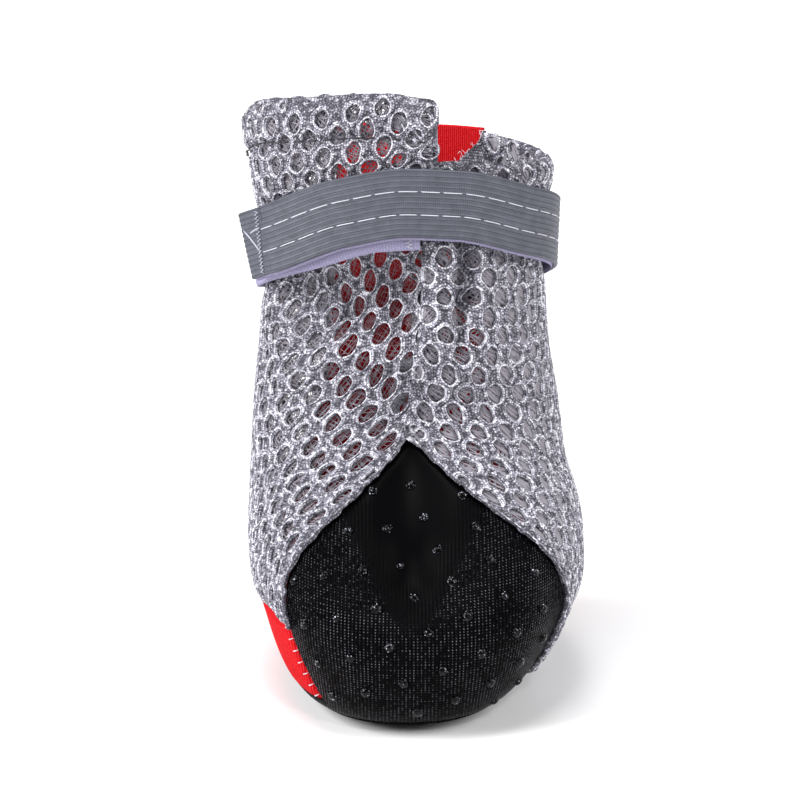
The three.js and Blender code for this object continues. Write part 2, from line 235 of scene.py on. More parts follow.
# Creases, each a soft trough or ridge between two places on the boot.
UPPER_FOLDS = table(
    "turn_a up_a turn_b up_b width height",
    (-54, 58.5, -2, 60, 4.8, -3.3),
    (-50, 51.5, -30, 56, 2.4, -1.2),
    (-30, 56, 2, 54.5, 2.4, -1.2),
    (-30, 65, 8, 64, 3.6, -1.0),
    (-56, 46, -31, 51.5, 2.2, 1.6),
    (-31, 51.5, 4, 49.5, 2.0, 1.4),
    (-74, 62, -60, 50, 3.0, 0.6),
    (30, 67, 28, 58, 1.3, -2.8),
    (28, 58, 25, 52, 1.3, -1.4),
    (38, 66, 38, 52, 3.0, 0.5),
    (-70, 40, -30, 44, 4.0, 0.5),
    (-78, 30, -45, 36, 3.0, -0.5),
    (60, 48, 100, 40, 4.0, 0.5),
    (50, 38, 95, 31, 3.2, -0.5),
    (150, 24, 205, 24, 3.5, -0.7),
    (-160, 24, -205, 24, 3.5, -0.7),
    (100, 24, 140, 28, 3.5, -0.5),
)
CAP_FOLDS = table(
    "turn_a up_a turn_b up_b width height",
    (2, 43, 2, 26, 5.0, -1.9),
    (2, 27, 1, 20, 3.2, -0.8),
    (-27, 23, -22, 17, 6.5, 0.9),
    (34, 24, 26, 16, 7.5, 1.0),
)
FOLD_RADIUS_OF_TURN = 21.0


def folds(rows, turn, up):
    """Height of a table's creases at each place."""
    to_mm = np.radians(1) * FOLD_RADIUS_OF_TURN
    total = np.zeros(np.broadcast(turn, up).shape)
    for row in zip(*rows.values()):
        turn_a, up_a, turn_b, up_b, width, height = row
        a = np.array([turn_a * to_mm, up_a])
        b = np.array([turn_b * to_mm, up_b])
        run = b - a
        x, y = turn * to_mm - a[0], up - a[1]
        share = np.clip((x * run[0] + y * run[1]) / (run @ run), 0, 1)
        distance = np.hypot(x - share * run[0], y - share * run[1])
        total = total + height * np.exp(-((distance / width) ** 2))
    return total


def strap_dent(turn, up):
    """The cloth gives way under the strap."""
    line = np.where(turn < -62, along(BASE_LINE, "turn", "up", turn), along(STRAP_LINE, "turn", "up", turn))
    return -0.8 * np.exp(-(((up - line) / 6.0) ** 4))


def relief(turn, up):
    """Height of all creases, with the dent under the strap."""
    wrapped = (np.asarray(turn) + 180) % 360 - 180
    return folds(UPPER_FOLDS, wrapped, up) + folds(CAP_FOLDS, wrapped, up) + strap_dent(wrapped, up)


def skin(turn, up, depth, folded=True):
    """Points some depth inside the surface, along its normal, with its folds."""
    turn, up, depth = np.broadcast_arrays(*(np.asarray(v, float) for v in (turn, up, depth)))
    low, high = np.clip(up - 0.4, 0, COLLAR_HEIGHT), np.clip(up + 0.4, 0, COLLAR_HEIGHT)
    high = np.maximum(high, low + 0.4)
    around = surface(turn + 1, up) - surface(turn - 1, up)
    rise = surface(turn, high) - surface(turn, low)
    normal = np.cross(around, rise)
    normal /= np.linalg.norm(normal, axis=-1, keepdims=True)
    lift = relief(turn, up) if folded else 0.0
    return surface(turn, up) + normal * (lift - depth)[..., None]


class ArcMap:
    """Distances over the surface, in millimetres: round from one turn, and up from one height."""

    def __init__(self, from_turn, from_up):
        self.turns = np.arange(-230.0, 231.0, ARC_STEP)
        self.ups = np.arange(0.0, 104.0, 1.0)
        turn, up = np.meshgrid(self.turns, self.ups, indexing="ij")
        points = surface(turn, up)
        steps = np.linalg.norm(np.diff(points, axis=0), axis=-1)
        around = np.concatenate([np.zeros((1, len(self.ups))), np.cumsum(steps, axis=0)])
        self.around = around - self.at(around, np.full(len(self.ups), from_turn), self.ups)[None, :]
        steps = np.linalg.norm(np.diff(points, axis=1), axis=-1)
        over = np.concatenate([np.zeros((len(self.turns), 1)), np.cumsum(steps, axis=1)], axis=1)
        self.over = over - self.at(over, self.turns, np.full(len(self.turns), from_up))[:, None]

    def at(self, grid, turn, up):
        """A grid's value at each place, between its corners."""
        i = np.clip((turn - self.turns[0]) / ARC_STEP, 0, len(self.turns) - 1.001)
        j = np.clip(up, 0, len(self.ups) - 1.001)
        i0, j0 = i.astype(int), j.astype(int)
        a, b = i - i0, j - j0
        low = grid[i0, j0] * (1 - a) + grid[i0 + 1, j0] * a
        high = grid[i0, j0 + 1] * (1 - a) + grid[i0 + 1, j0 + 1] * a
        return low * (1 - b) + high * b

    def place(self, s, t, turn):
        """Turn and up of the points at s round and t up, from a first guess of the turn."""
        turn = np.broadcast_to(np.asarray(turn, float), s.shape) + s * 2.5
        up = np.clip(t + 65.0, 2, 100)
        for _ in range(14):
            error_s = s - self.at(self.around, turn, up)
            error_t = t - self.at(self.over, turn, up)
            rate_s = (self.at(self.around, turn + 2, up) - self.at(self.around, turn - 2, up)) / 4
            rate_t = self.at(self.over, turn, up + 1) - self.at(self.over, turn, up)
            turn = np.clip(turn + np.clip(error_s / rate_s, -15, 15), -228, 228)
            up = np.clip(up + np.clip(error_t / np.maximum(rate_t, 0.3), -8, 8), 0.5, 102)
        return turn, up


# ---------------------------------------------------------------- mesh helpers


def new_object(name, points, faces, material, uvs=None):
    """A mesh object from points in millimetres."""
    mesh = bpy.data.meshes.new(name)
    mesh.from_pydata((np.asarray(points) * MM).tolist(), [], faces)
    mesh.update()
    if uvs is not None:
        layer = mesh.uv_layers.new(name="Cloth")
        layer.data.foreach_set("uv", np.asarray(uvs, np.float32).ravel())
    mesh.polygons.foreach_set("use_smooth", [True] * len(mesh.polygons))
    mesh.materials.append(material)
    obj = bpy.data.objects.new(name, mesh)
    bpy.context.scene.collection.objects.link(obj)
    return obj


CUTS = {}


def grid_shell(name, outer, inner, uv, material, present=None, wraps=False):
    """A closed sheet from two grids of points, with walls at every free edge. uv is a grid too."""
    rows, columns = outer.shape[0] - 1, outer.shape[1] - (0 if wraps else 1)
    width = outer.shape[1]
    present = np.ones((rows, columns), bool) if present is None else present
    count = outer.shape[0] * width
    faces, uvs = [], []

    def emit(corners, places):
        faces.append(corners)
        uvs.extend(places)

    def filled(r, c):
        if wraps:
            c %= columns
        return 0 <= r < rows and 0 <= c < columns and present[r, c]

    for r in range(rows):
        for c in range(columns):
            if not present[r, c]:
                continue
            after = (c + 1) % width if wraps else c + 1
            ring = [(r, c), (r, after), (r + 1, after), (r + 1, c)]
            ids = [a * width + b for a, b in ring]
            spots = [uv[a, b] for a, b in ring]
            if wraps and c == columns - 1:
                period = uv[r, columns - 1] - uv[r, columns - 2]
                spots[1], spots[2] = uv[r, c] + period, uv[r + 1, c] + period
            emit(ids, spots)
            emit([i + count for i in reversed(ids)], spots[::-1])
            for side, (a, b) in enumerate([(r - 1, c), (r, c + 1), (r + 1, c), (r, c - 1)]):
                if not filled(a, b):
                    n = (side + 1) % 4
                    emit([ids[n], ids[side], ids[side] + count, ids[n] + count],
                         [spots[n], spots[side], spots[side], spots[n]])
    points = np.concatenate([outer.reshape(-1, 3), inner.reshape(-1, 3)])
    CUTS[name] = cut_of(outer, present)
    obj = new_object(name, points, faces, material, uvs=np.array(uvs))
    clean(obj)
    return obj


def clean(obj, distance=0.004):
    """Merges doubles, and drops flat faces and loose points."""
    bm = bmesh.new()
    bm.from_mesh(obj.data)
    bmesh.ops.remove_doubles(bm, verts=bm.verts, dist=distance * MM)
    bmesh.ops.dissolve_degenerate(bm, edges=bm.edges, dist=0.002 * MM)
    loose = [v for v in bm.verts if not v.link_faces]
    bmesh.ops.delete(bm, geom=loose, context="VERTS")
    bm.to_mesh(obj.data)
    bm.free()


def tubes(name, paths, radius, material, sides=6, taper=True):
    """Round threads along paths, which are lists of points, with closed ends. radius is one or one each."""
    points, faces, uvs, start = [], [], [], 0
    radii = np.broadcast_to(radius, len(paths))
    angles = 2 * math.pi * np.arange(sides) / sides
    cosines, sines = np.cos(angles), np.sin(angles)
    for path, thick in zip(paths, radii):
        path = np.asarray(path, float)
        run = np.gradient(path, axis=0)
        across = np.cross(run, THREAD_GUIDE)
        across /= np.linalg.norm(across, axis=1, keepdims=True) + 1e-9
        other = np.cross(run, across)
        other /= np.linalg.norm(other, axis=1, keepdims=True) + 1e-9
        size = np.full(len(path), thick)
        if taper:
            size[0] = size[-1] = thick * 0.45
        circle = cosines[:, None] * across[:, None] + sines[:, None] * other[:, None]
        points.append((path[:, None] + size[:, None, None] * circle).reshape(-1, 3))
        length = np.concatenate([[0], np.cumsum(np.linalg.norm(np.diff(path, axis=0), axis=1))]) / STRAND
        for k in range(len(path) - 1):
            for side in range(sides):
                a, b = start + k * sides + side, start + k * sides + (side + 1) % sides
                faces.append((a, b, b + sides, a + sides))
                low, high = side * 0.2, side * 0.2 + 0.2
                uvs += [(length[k], low), (length[k], high), (length[k + 1], high), (length[k + 1], low)]
        last = start + (len(path) - 1) * sides
        faces.append(tuple(start + side for side in reversed(range(sides))))
        faces.append(tuple(last + side for side in range(sides)))
        uvs += [(0, 0)] * (2 * sides)
        start += len(path) * sides
    return new_object(name, np.concatenate(points), faces, material, uvs=uvs)


def cut_of(grid, present=None):
    """The cloth in a grid of points, in metres: its widest row, its longest column and its area."""
    across = np.linalg.norm(np.diff(grid, axis=1), axis=-1)
    along_it = np.linalg.norm(np.diff(grid, axis=0), axis=-1)
    a, b, c, d = grid[:-1, :-1], grid[:-1, 1:], grid[1:, 1:], grid[1:, :-1]
    first, second = np.cross(b - a, c - a), np.cross(c - a, d - a)
    areas = (np.linalg.norm(first, axis=-1) + np.linalg.norm(second, axis=-1)) / 2
    if present is not None:
        areas = areas * present[: areas.shape[0], : areas.shape[1]]
    return across.sum(axis=1).max() * MM, along_it.sum(axis=0).max() * MM, areas.sum() * MM * MM


def finish_piece(obj, slot, *nodes):
    """A finished piece rides on the one body, and hides the nodes that it stands for. The slot argument is
    not used.
    """
    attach(obj, "root")
    if nodes:
        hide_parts(*nodes)
    return obj


# ---------------------------------------------------------------- materials


def linear(hex_colour):
    """A linear colour from an sRGB hex one."""
    channels = [int(hex_colour[i : i + 2], 16) / 255 for i in (1, 3, 5)]
    return [c / 12.92 if c <= 0.04045 else ((c + 0.055) / 1.055) ** 2.4 for c in channels] + [1.0]


def node(tree, kind, settings=None, **inputs):
    """Adds a node with its settings. An input is a value, or a socket to link from."""
    made = tree.nodes.new("ShaderNode" + kind)
    for name, value in (settings or {}).items():
        setattr(made, name, value)
    for name, value in inputs.items():
        key = int(name[1:]) if name[0] == "i" and name[1:].isdigit() else name.replace("_", " ")
        socket = made.inputs[key]
        if isinstance(value, bpy.types.NodeSocket):
            tree.links.new(value, socket)
        else:
            socket.default_value = value
    return made


def new_material(name, colour, roughness, **values):
    """A material with a Principled shader, its tree and the shader."""
    material = bpy.data.materials.new(name)
    material.use_nodes = True
    tree = material.node_tree
    shader = tree.nodes["Principled BSDF"]
    shader.inputs["Base Color"].default_value = linear(colour)
    shader.inputs["Roughness"].default_value = roughness
    for key, value in values.items():
        shader.inputs[key.replace("_", " ")].default_value = value
    return material, tree, shader


def ramp(tree, fac, *stops):
    """A colour ramp of (place, hex colour) stops."""
    made = node(tree, "ValToRGB", i0=fac)
    elements = made.color_ramp.elements
    while len(elements) < len(stops):
        elements.new(0.5)
    for element, (place, colour) in zip(elements, stops):
        element.position = place
        element.color = linear(colour)
    return made.outputs["Color"]


def maths(tree, operation, a, b=0.5, c=0.5, clamp=False):
    """A sum on sockets or numbers. MULTIPLY_ADD is a * b + c, and the others leave c aside."""
    return node(tree, "Math", {"operation": operation, "use_clamp": clamp}, i0=a, i1=b, i2=c).outputs[0]


def wave(tree, at, length=1.0):
    """A sine of a given length."""
    return maths(tree, "SINE", maths(tree, "MULTIPLY", at, 2 * math.pi / length))


def mapped(tree, value, low, high, to_low, to_high):
    """A value taken from one range to another, and held at its ends."""
    return node(tree, "MapRange", Value=value, i1=low, i2=high, i3=to_low, i4=to_high).outputs[0]


def noise(tree, place, scale, **more):
    return node(tree, "TexNoise", Vector=place, Scale=scale, **more).outputs["Fac"]


def cloth_place(tree):
    """The place on the flat cloth in millimetres, whole and as its X and Y."""
    uv = node(tree, "UVMap", {"uv_map": "Cloth"}).outputs[0]
    return uv, node(tree, "SeparateXYZ", i0=uv).outputs


def object_place(tree):
    return node(tree, "TexCoord").outputs["Object"]


def raised(tree, shader, height, strength, depth):
    """Gives the surface a relief, with its depth in metres."""
    bump = node(tree, "Bump", Strength=strength, Distance=depth, Height=height)
    tree.links.new(bump.outputs[0], shader.inputs["Normal"])


def mesh_yarn():
    """Polyester air mesh, warp knitted: chains of small glossy loops round each hole, and a smoother yarn
    along the edge of the hole. Their fine silver glitter is painted: pale highlights on the loops, some
    brighter at random, and painted shade in the dark gaps between them."""
    material, tree, shader = new_material("polyester_air_mesh_knitted", "#9A98A4", 0.4)
    shader.inputs["Specular IOR Level"].default_value = 0.45
    _, parts = cloth_place(tree)
    place = object_place(tree)
    fuzz = noise(tree, place, 1500.0, Detail=3.0, Roughness=0.6)
    row = maths(tree, "DIVIDE", parts["Y"], STRAND)
    row = maths(tree, "ADD", row, maths(tree, "MULTIPLY", fuzz, 0.35))
    stagger = maths(tree, "MULTIPLY", maths(tree, "FLOOR", row), 0.5)
    bead = maths(tree, "ADD", maths(tree, "ADD", parts["X"], stagger), maths(tree, "MULTIPLY", fuzz, 0.7))
    across_row = maths(tree, "ABSOLUTE", wave(tree, row, 2.0))
    along_row = maths(tree, "ABSOLUTE", wave(tree, bead, 2.0))
    loop = maths(tree, "MULTIPLY", across_row, along_row)
    edge_yarn = mapped(tree, parts["Y"], 0.32, 0.18, 0.0, 1.0)
    cells = node(tree, "TexVoronoi", {"feature": "F1"}, Vector=place, Scale=2200.0).outputs["Color"]
    glint_chance = node(tree, "SeparateXYZ", i0=cells).outputs["X"]
    # Painted highlight and shade: the loops are drawn pale, some brighter at random, over dark gaps.
    tone = maths(tree, "ADD", maths(tree, "MULTIPLY", loop, 0.45), maths(tree, "MULTIPLY", glint_chance, 0.46))
    tone = maths(tree, "ADD", tone, maths(tree, "MULTIPLY", maths(tree, "SUBTRACT", fuzz, 0.5), 1.3))
    edge_yarn = maths(tree, "MULTIPLY", edge_yarn, maths(tree, "MULTIPLY", fuzz, 0.25))
    tone = maths(tree, "ADD", tone, edge_yarn)
    between = mapped(tree, parts["Y"], 0.35, 0.95, 0.05, -0.2)
    tone = maths(tree, "ADD", tone, between)
    colour = ramp(tree, tone, (0.12, "#34323C"), (0.36, "#6E6C78"), (0.58, "#9B99A6"), (0.85, "#EFEFF7"))
    tree.links.new(colour, shader.inputs["Base Color"])
    raised(tree, shader, tone, 0.8, 0.0003)
    return material


def grip_knit():
    """Black polyester knit: upright wales of fine loops, dull black with a few glints painted pale on the
    loops, and painted shade in the hollow below the peak.
    """
    material, tree, shader = new_material("black_polyester_knit", "#0C0C0F", 0.38)
    uv, parts = cloth_place(tree)
    wale_width, course_height = 0.55, 0.42
    wales = maths(tree, "DIVIDE", parts["X"], wale_width)
    courses = maths(tree, "DIVIDE", parts["Y"], course_height)
    wale = maths(tree, "MULTIPLY_ADD", wave(tree, wales), 0.5)
    course = maths(tree, "MULTIPLY_ADD", wave(tree, courses), 0.5)
    loop = maths(tree, "MULTIPLY", wale, maths(tree, "MULTIPLY_ADD", course, 0.6))
    cell = node(tree, "CombineXYZ", X=maths(tree, "FLOOR", wales), Y=maths(tree, "FLOOR", courses)).outputs[0]
    glint_chance = node(tree, "TexWhiteNoise", {"noise_dimensions": "3D"}, Vector=cell).outputs["Value"]
    # The painted glints are fewer in broad random patches.
    glint_patches = noise(tree, uv, 0.16, Detail=3.0)
    glint_chance = maths(tree, "MULTIPLY_ADD", glint_chance, 0.55, 0.2)
    glint_chance = maths(tree, "ADD", glint_chance, maths(tree, "SUBTRACT", glint_patches, 0.75), clamp=True)
    place = node(tree, "SeparateXYZ", i0=object_place(tree)).outputs
    # Painted shade: in the hollow below the peak, which lies in shade, the loops lose their glints and
    # relief, narrower and fainter lower down.
    rise = mapped(tree, place["Z"], 0.0165, 0.0235, 0.0, 1.0)
    reach = mapped(tree, place["Z"], 0.016, 0.041, 0.0012, 0.014)
    aside = maths(tree, "ABSOLUTE", maths(tree, "SUBTRACT", place["X"], 0.001))
    aside = maths(tree, "DIVIDE", aside, reach)
    hollow_shade = mapped(tree, aside, 0.6, 1.2, 1.0, 0.0)
    unshaded = maths(tree, "SUBTRACT", 1.0, maths(tree, "MULTIPLY", hollow_shade, rise))
    loop = maths(tree, "MULTIPLY", loop, unshaded)
    # Painted glints: the loops that would catch the light are drawn pale.
    lit = maths(tree, "MULTIPLY", glint_chance, maths(tree, "POWER", loop, 6.0))
    colour = ramp(tree, lit, (0.0, "#030304"), (0.12, "#0A0A0E"), (0.7, "#60606A"))
    tree.links.new(colour, shader.inputs["Base Color"])
    tree.links.new(maths(tree, "MULTIPLY_ADD", lit, 0.8, 0.02), shader.inputs["Specular IOR Level"])
    raised(tree, shader, loop, 0.8, 0.00022)
    return material


def red_knit():
    """Red brushed polyester knit: matt, with fine courses and a little nap."""
    material, tree, shader = new_material(
        "red_polyester_knit_brushed", "#C60D13", 0.95, Specular_IOR_Level=0.04
    )
    uv, parts = cloth_place(tree)
    thread = 0.42
    x = maths(tree, "MULTIPLY", parts["X"], 2 * math.pi / thread)
    y = maths(tree, "MULTIPLY", parts["Y"], 2 * math.pi / thread)
    weave = maths(tree, "MULTIPLY", maths(tree, "SINE", maths(tree, "ADD", x, y)), maths(tree, "SINE", y))
    nap = noise(tree, uv, 3.5, Detail=5.0, Roughness=0.7)
    height = maths(tree, "ADD", maths(tree, "MULTIPLY", weave, 0.35), nap)
    colour = ramp(tree, height, (0.3, "#98090F"), (0.6, "#C4121A"), (0.95, "#E84A4E"))
    tree.links.new(colour, shader.inputs["Base Color"])
    raised(tree, shader, height, 0.5, 0.00015)
    return material


def reflective_tape():
    """Grey ribbed tape with a glass-bead face: satin grey that brightens where it turns to the light, with
    painted shade in the grooves between its ribs.
    """
    material, tree, shader = new_material(
        "reflective_polyester_tape_ribbed", "#666A76", 0.5, Specular_IOR_Level=0.35
    )
    uv, parts = cloth_place(tree)
    rib = STRAP_WIDTH / STRAP_RIBS
    groove = maths(tree, "ABSOLUTE", wave(tree, parts["Y"], 2 * rib))
    groove = mapped(tree, groove, 0.0, 0.45, 0.0, 1.0)
    weft = wave(tree, parts["X"], 0.3)
    wear = noise(tree, uv, 0.5, Detail=6.0, Roughness=0.65)
    grain = noise(tree, uv, 9.0, Detail=2.0)
    tone = maths(tree, "ADD", maths(tree, "MULTIPLY", wear, 0.5), maths(tree, "MULTIPLY", grain, 0.3))
    # Painted shade: the grooves between the ribs are drawn darker.
    tone = maths(tree, "ADD", tone, maths(tree, "MULTIPLY", groove, 0.3))
    colour = ramp(tree, tone, (0.3, "#2B2C34"), (0.6, "#42444E"), (0.9, "#5C5E6A"))
    tree.links.new(colour, shader.inputs["Base Color"])
    height = maths(tree, "ADD", maths(tree, "MULTIPLY", weft, 0.15), groove)
    raised(tree, shader, height, 0.6, 0.00012)
    return material


def loop_tape():
    """Lavender nylon loop tape: pale and matt, with fine cross ribs under a soft pile."""
    material, tree, shader = new_material("lavender_nylon_loop_tape", "#B7B4D8", 0.8, Specular_IOR_Level=0.2)
    uv, parts = cloth_place(tree)
    rib = 0.45
    cross = wave(tree, parts["X"], rib)
    pile = noise(tree, uv, 4.0, Detail=4.0, Roughness=0.7)
    height = maths(tree, "ADD", maths(tree, "MULTIPLY", cross, 0.07), pile)
    colour = ramp(tree, height, (0.25, "#78738F"), (0.55, "#938EAA"), (0.9, "#B6B2CC"))
    tree.links.new(colour, shader.inputs["Base Color"])
    raised(tree, shader, height, 0.5, 0.00012)
    return material


def sewing_thread(name, colour, sheen=0.3):
    """Twisted polyester thread: a soft sheen with fine diagonal shade from the twist."""
    material, tree, shader = new_material(name, colour, 0.5, Sheen_Weight=sheen)
    place = object_place(tree)
    twist = noise(tree, place, 5000.0, Detail=1.0)
    raised(tree, shader, twist, 0.4, 0.00006)
    return material


def silicone():
    """Black silicone, printed as dots and cured: glossy black. Small glints on ridges of its skin are drawn
    in pale colour, as the lamps are too large to give them."""
    material, tree, shader = new_material(
        "black_silicone_dots", "#030304", 0.1, IOR=1.43, Specular_IOR_Level=0.18
    )
    place = object_place(tree)
    cured = noise(tree, place, 1300.0, Detail=2.0)
    ridges = noise(tree, place, 3600.0, Detail=1.0)
    colour = ramp(tree, ridges, (0.0, "#020203"), (0.66, "#030304"), (0.73, "#B4B7C6"))
    tree.links.new(colour, shader.inputs["Base Color"])
    raised(tree, shader, cured, 0.7, 0.0004)
    return material


def felt():
    """Dark grey needled felt: matt, with short tangled fibres."""
    material, tree, shader = new_material("dark_grey_needled_felt", "#36363B", 0.95, Sheen_Weight=0.2)
    place = object_place(tree)
    fibres = noise(tree, place, 1800.0, Detail=5.0, Roughness=0.75)
    colour = ramp(tree, fibres, (0.3, "#27272B"), (0.7, "#4A4A50"))
    tree.links.new(colour, shader.inputs["Base Color"])
    raised(tree, shader, fibres, 0.5, 0.0002)
    return material


# ---------------------------------------------------------------- air mesh upper


def hole_ring():
    """One hole of the mesh: 24 directions by 7 rings, from the front edge of its cell, over the yarn,
    through the hole and back to the edge. Gives the edge of the cell, and each ring's share and depth."""
    half_round = HOLE_PITCH_ROUND / 2
    far = (half_round**2 + (HOLE_PITCH_UP / 2) ** 2) / 2
    apex = far / (HOLE_PITCH_UP / 2)
    knee = (far - half_round * half_round) / (HOLE_PITCH_UP / 2)
    corners = [(half_round, -knee), (half_round, knee), (0, apex)]
    corners += [(-x, -y) for x, y in corners]
    counts = [2, 5, 5, 2, 5, 5]
    edge = []
    for k, count in enumerate(counts):
        a, b = np.array(corners[k]), np.array(corners[(k + 1) % 6])
        edge += [a + (b - a) * i / count for i in range(count)]
    rings = table(
        "share depth",
        (0.0, 0.1), (0.28, -0.14), (0.6, -0.26), (0.9, -0.12), (1.0, 0.28), (0.94, 0.78), (0.0, MESH_BACK),
    )
    return np.array(edge), rings


# Where cloth points lie, the size of a degree and of a height there, and how far they are past the two folded
# edges, inside the cut, from the sewn seams and from the cap's edge.
Cut = namedtuple("Cut", "turn up per_turn per_up past_top past_lap inside seams on_cap")


def rough_distance(value, slope_turn, slope_up, per_turn, per_up):
    """A rough distance in millimetres to the place where a value is nothing."""
    return value / np.hypot(slope_turn / per_turn, slope_up / per_up)


class Half:
    """One half of the upper: where its cloth is cut, and where it lies. side is -1 left, 1 right."""

    def __init__(self, side):
        self.side = side
        self.arcs = ArcMap(90.0 * side, 65.0)
        self.collar = LEFT_COLLAR if side < 0 else RIGHT_COLLAR
        self.seam = CAP_SEAM_LEFT if side < 0 else CAP_SEAM_RIGHT
        self.lap = "left" if side < 0 else "right"

    def climb(self, s, t):
        """How far a row of holes has climbed at s. The left half's cloth is cut on a slant."""
        if self.side > 0:
            return RIGHT_CLIMB * s
        return s * (LEFT_CLIMB + (LEFT_CLIMB_TOP - LEFT_CLIMB) * smoothstep(t, -8, 8))

    def cut(self, s, t):
        """Where points of the flat cloth lie, and how they stand to its edges."""

        def seam(at):
            return along(self.seam, "up", "turn", at)

        def panel(at):
            return along(PANEL_LEFT_EDGE, "up", "turn", at)

        turn, up = self.arcs.place(s, t + self.climb(s, t), 90.0 * self.side)
        per_turn = np.linalg.norm(surface(turn + 1, up) - surface(turn - 1, up), axis=-1) / 2
        per_up = np.linalg.norm(surface(turn, up + 0.5) - surface(turn, up - 0.5), axis=-1)
        collar = along(self.collar, "turn", "up", turn)
        past_top = (up - collar) * per_up + COLLAR_TRIM
        edge = along(LAP, "up", self.lap, up)
        past_lap = (turn - edge) * per_turn * -self.side + LAP_TRIM
        seam_slope = seam(up + 0.5) - seam(up - 0.5)
        inside_seam = rough_distance((turn - seam(up)) * self.side, 1, seam_slope, per_turn, per_up)
        below_peak = up < PEAK - 0.3
        past_lap = np.where(below_peak, -1.0, past_lap)
        lap_room = np.pi * FOLD_RADIUS + LAP_HEM_DEPTH - past_lap
        front = np.where(below_peak, inside_seam + CAP_OVERLAP, lap_room)
        top = np.pi * FOLD_RADIUS + HEM_DEPTH - past_top
        if self.side < 0:
            panel_slope = (panel(up + 0.3) - panel(up - 0.3)) / 0.6
            back = rough_distance(turn - panel(up), 1, panel_slope, per_turn, per_up)
            bottom = (up - PANEL_FORWARD_TOP - 0.15) * per_up
        else:
            back = (PANEL_RIGHT_TURN - turn) * per_turn
            bottom = (up - SOLE_LIP - 0.15) * per_up
        inside = np.minimum.reduce([front, top, back - 0.15, bottom])
        seams = np.minimum(back, bottom)
        on_cap = np.where(below_peak, inside_seam, np.hypot(inside_seam, up - PEAK))
        return Cut(turn, up, per_turn, per_up, past_top, past_lap, inside, seams, on_cap)

    def lay(self, s, t, depth):
        """Cloth points on the boot: folded in at the collar and the lap, and tucked in at the seams."""
        turn, up, per_turn, per_up, past_top, past_lap, _, seams, on_cap = self.cut(s, t)
        hem = (1 - smoothstep(-past_top, HEM_DEPTH - 1.2, HEM_DEPTH + 0.6)) * (past_top < 0)
        lap_hem = (1 - smoothstep(-past_lap, LAP_HEM_DEPTH - 1.0, LAP_HEM_DEPTH + 0.5)) * (past_lap < 0)
        lap_hem = lap_hem * smoothstep(up, PEAK, PEAK + 4)
        folded_over = np.maximum(0.3 * hem, 0.7 * lap_hem)
        r = FOLD_RADIUS

        def fold(past, depth):
            angle = np.clip(past / r, 0, np.pi)
            deeper = r - (r - depth) * np.cos(angle)
            stands = (r - depth) * np.sin(angle)
            back = np.maximum(past - np.pi * r, 0)
            return np.where(past > 0, stands - back, past), np.where(past > 0, deeper, depth)

        new_lap, depth = fold(past_lap, depth)
        moved = (past_lap - new_lap) / per_turn * self.side
        turn = turn + np.where(past_lap > 0, moved, 0)
        new_top, depth = fold(past_top, depth)
        up = np.where(past_top > 0, up - (past_top - new_top) / per_up, up)
        over = along(LAP, "up", "over", up)
        fade = 1 - smoothstep(np.abs(turn), LAP_FULL_TURN, LAP_FADE_TURN)
        shift = self.side * over * fade * LAP_SHIFT
        tuck = 0.7 * np.exp(-((np.maximum(seams, 0) / 0.7) ** 2))
        pinch = 0.7 * np.exp(-(((past_top + HEM_LINE) / 0.8) ** 2))
        proud = 0.4 * np.exp(-((on_cap / 1.6) ** 2))
        return skin(turn, up, shift + depth + tuck + pinch - proud - folded_over)

    def on_cloth(self, turn, up, depth):
        """Points on the single cloth, at a depth from its face."""
        over = along(LAP, "up", "over", up)
        fade = 1 - smoothstep(np.abs(turn), LAP_FULL_TURN, LAP_FADE_TURN)
        return skin(turn, up, self.side * over * fade * LAP_SHIFT + depth)


def cut_rims(faces, points, depth):
    """Triangles that close the cloth's cut edge, strand by strand, between its face and its back."""
    directed = {(face[k], face[(k + 1) % len(face)]) for face in faces for k in range(len(face))}
    after = {a: b for a, b in sorted(directed) if (b, a) not in directed}
    closing = []
    while after:
        loop = [next(iter(after))]
        while loop[-1] in after:
            loop.append(after.pop(loop[-1]))
        if loop[0] != loop[-1] or len(loop) < 4:
            continue
        loop.pop()
        back = [depth[v] > MESH_BACK / 2 for v in loop]
        starts = [k for k in range(len(loop)) if not back[k] and back[k - 1]]
        if len(starts) != 1:
            if len(loop) < 9:
                closing += [[loop[0], loop[k + 1], loop[k]] for k in range(1, len(loop) - 1)]
            continue
        loop = loop[starts[0] :] + loop[: starts[0]]
        front = [v for v in loop if depth[v] <= MESH_BACK / 2]
        rear = [v for v in loop if depth[v] > MESH_BACK / 2][::-1]
        i = j = 0
        while i < len(front) - 1 or j < len(rear) - 1:
            ahead_front = i < len(front) - 1
            if ahead_front and j < len(rear) - 1:
                by_front = np.linalg.norm(points[front[i + 1]] - points[rear[j]])
                by_rear = np.linalg.norm(points[front[i]] - points[rear[j + 1]])
                ahead_front = by_front <= by_rear
            if ahead_front:
                closing.append([front[i + 1], front[i], rear[j]])
                i += 1
            else:
                closing.append([rear[j], rear[j + 1], front[i]])
                j += 1
    return closing


def cells_within(half):
    """Centres of the mesh's cells that reach into the half's outline, set like bricks, and where they lie."""
    columns = np.arange(-16, 17) * HOLE_PITCH_ROUND
    centres = []
    for row in range(-34, 12):
        offset = HOLE_PITCH_ROUND / 2 if row % 2 else 0.0
        centres += [(c + offset, row * HOLE_PITCH_UP / 2) for c in columns]
    centres = np.array(centres)
    found = half.cut(centres[:, 0], centres[:, 1])
    near = found.inside > -3.2
    return centres[near], Cut(*(values[near] for values in found))


def how_open(found):
    """How far each hole is open: nearly closed on a fold, and smaller at the cap and by the sewn seams."""
    on_fold = np.minimum(np.abs(found.past_top - 1.2), np.abs(found.past_lap - 1.4) + 0.5)
    opened = 0.06 + 0.94 * smoothstep(on_fold, 0.7, 2.2)
    opened *= 0.62 + 0.38 * smoothstep(found.on_cap, 0.0, 1.0)
    opened *= 0.1 + 0.9 * smoothstep(found.seams, 0.5, 1.9)
    return opened


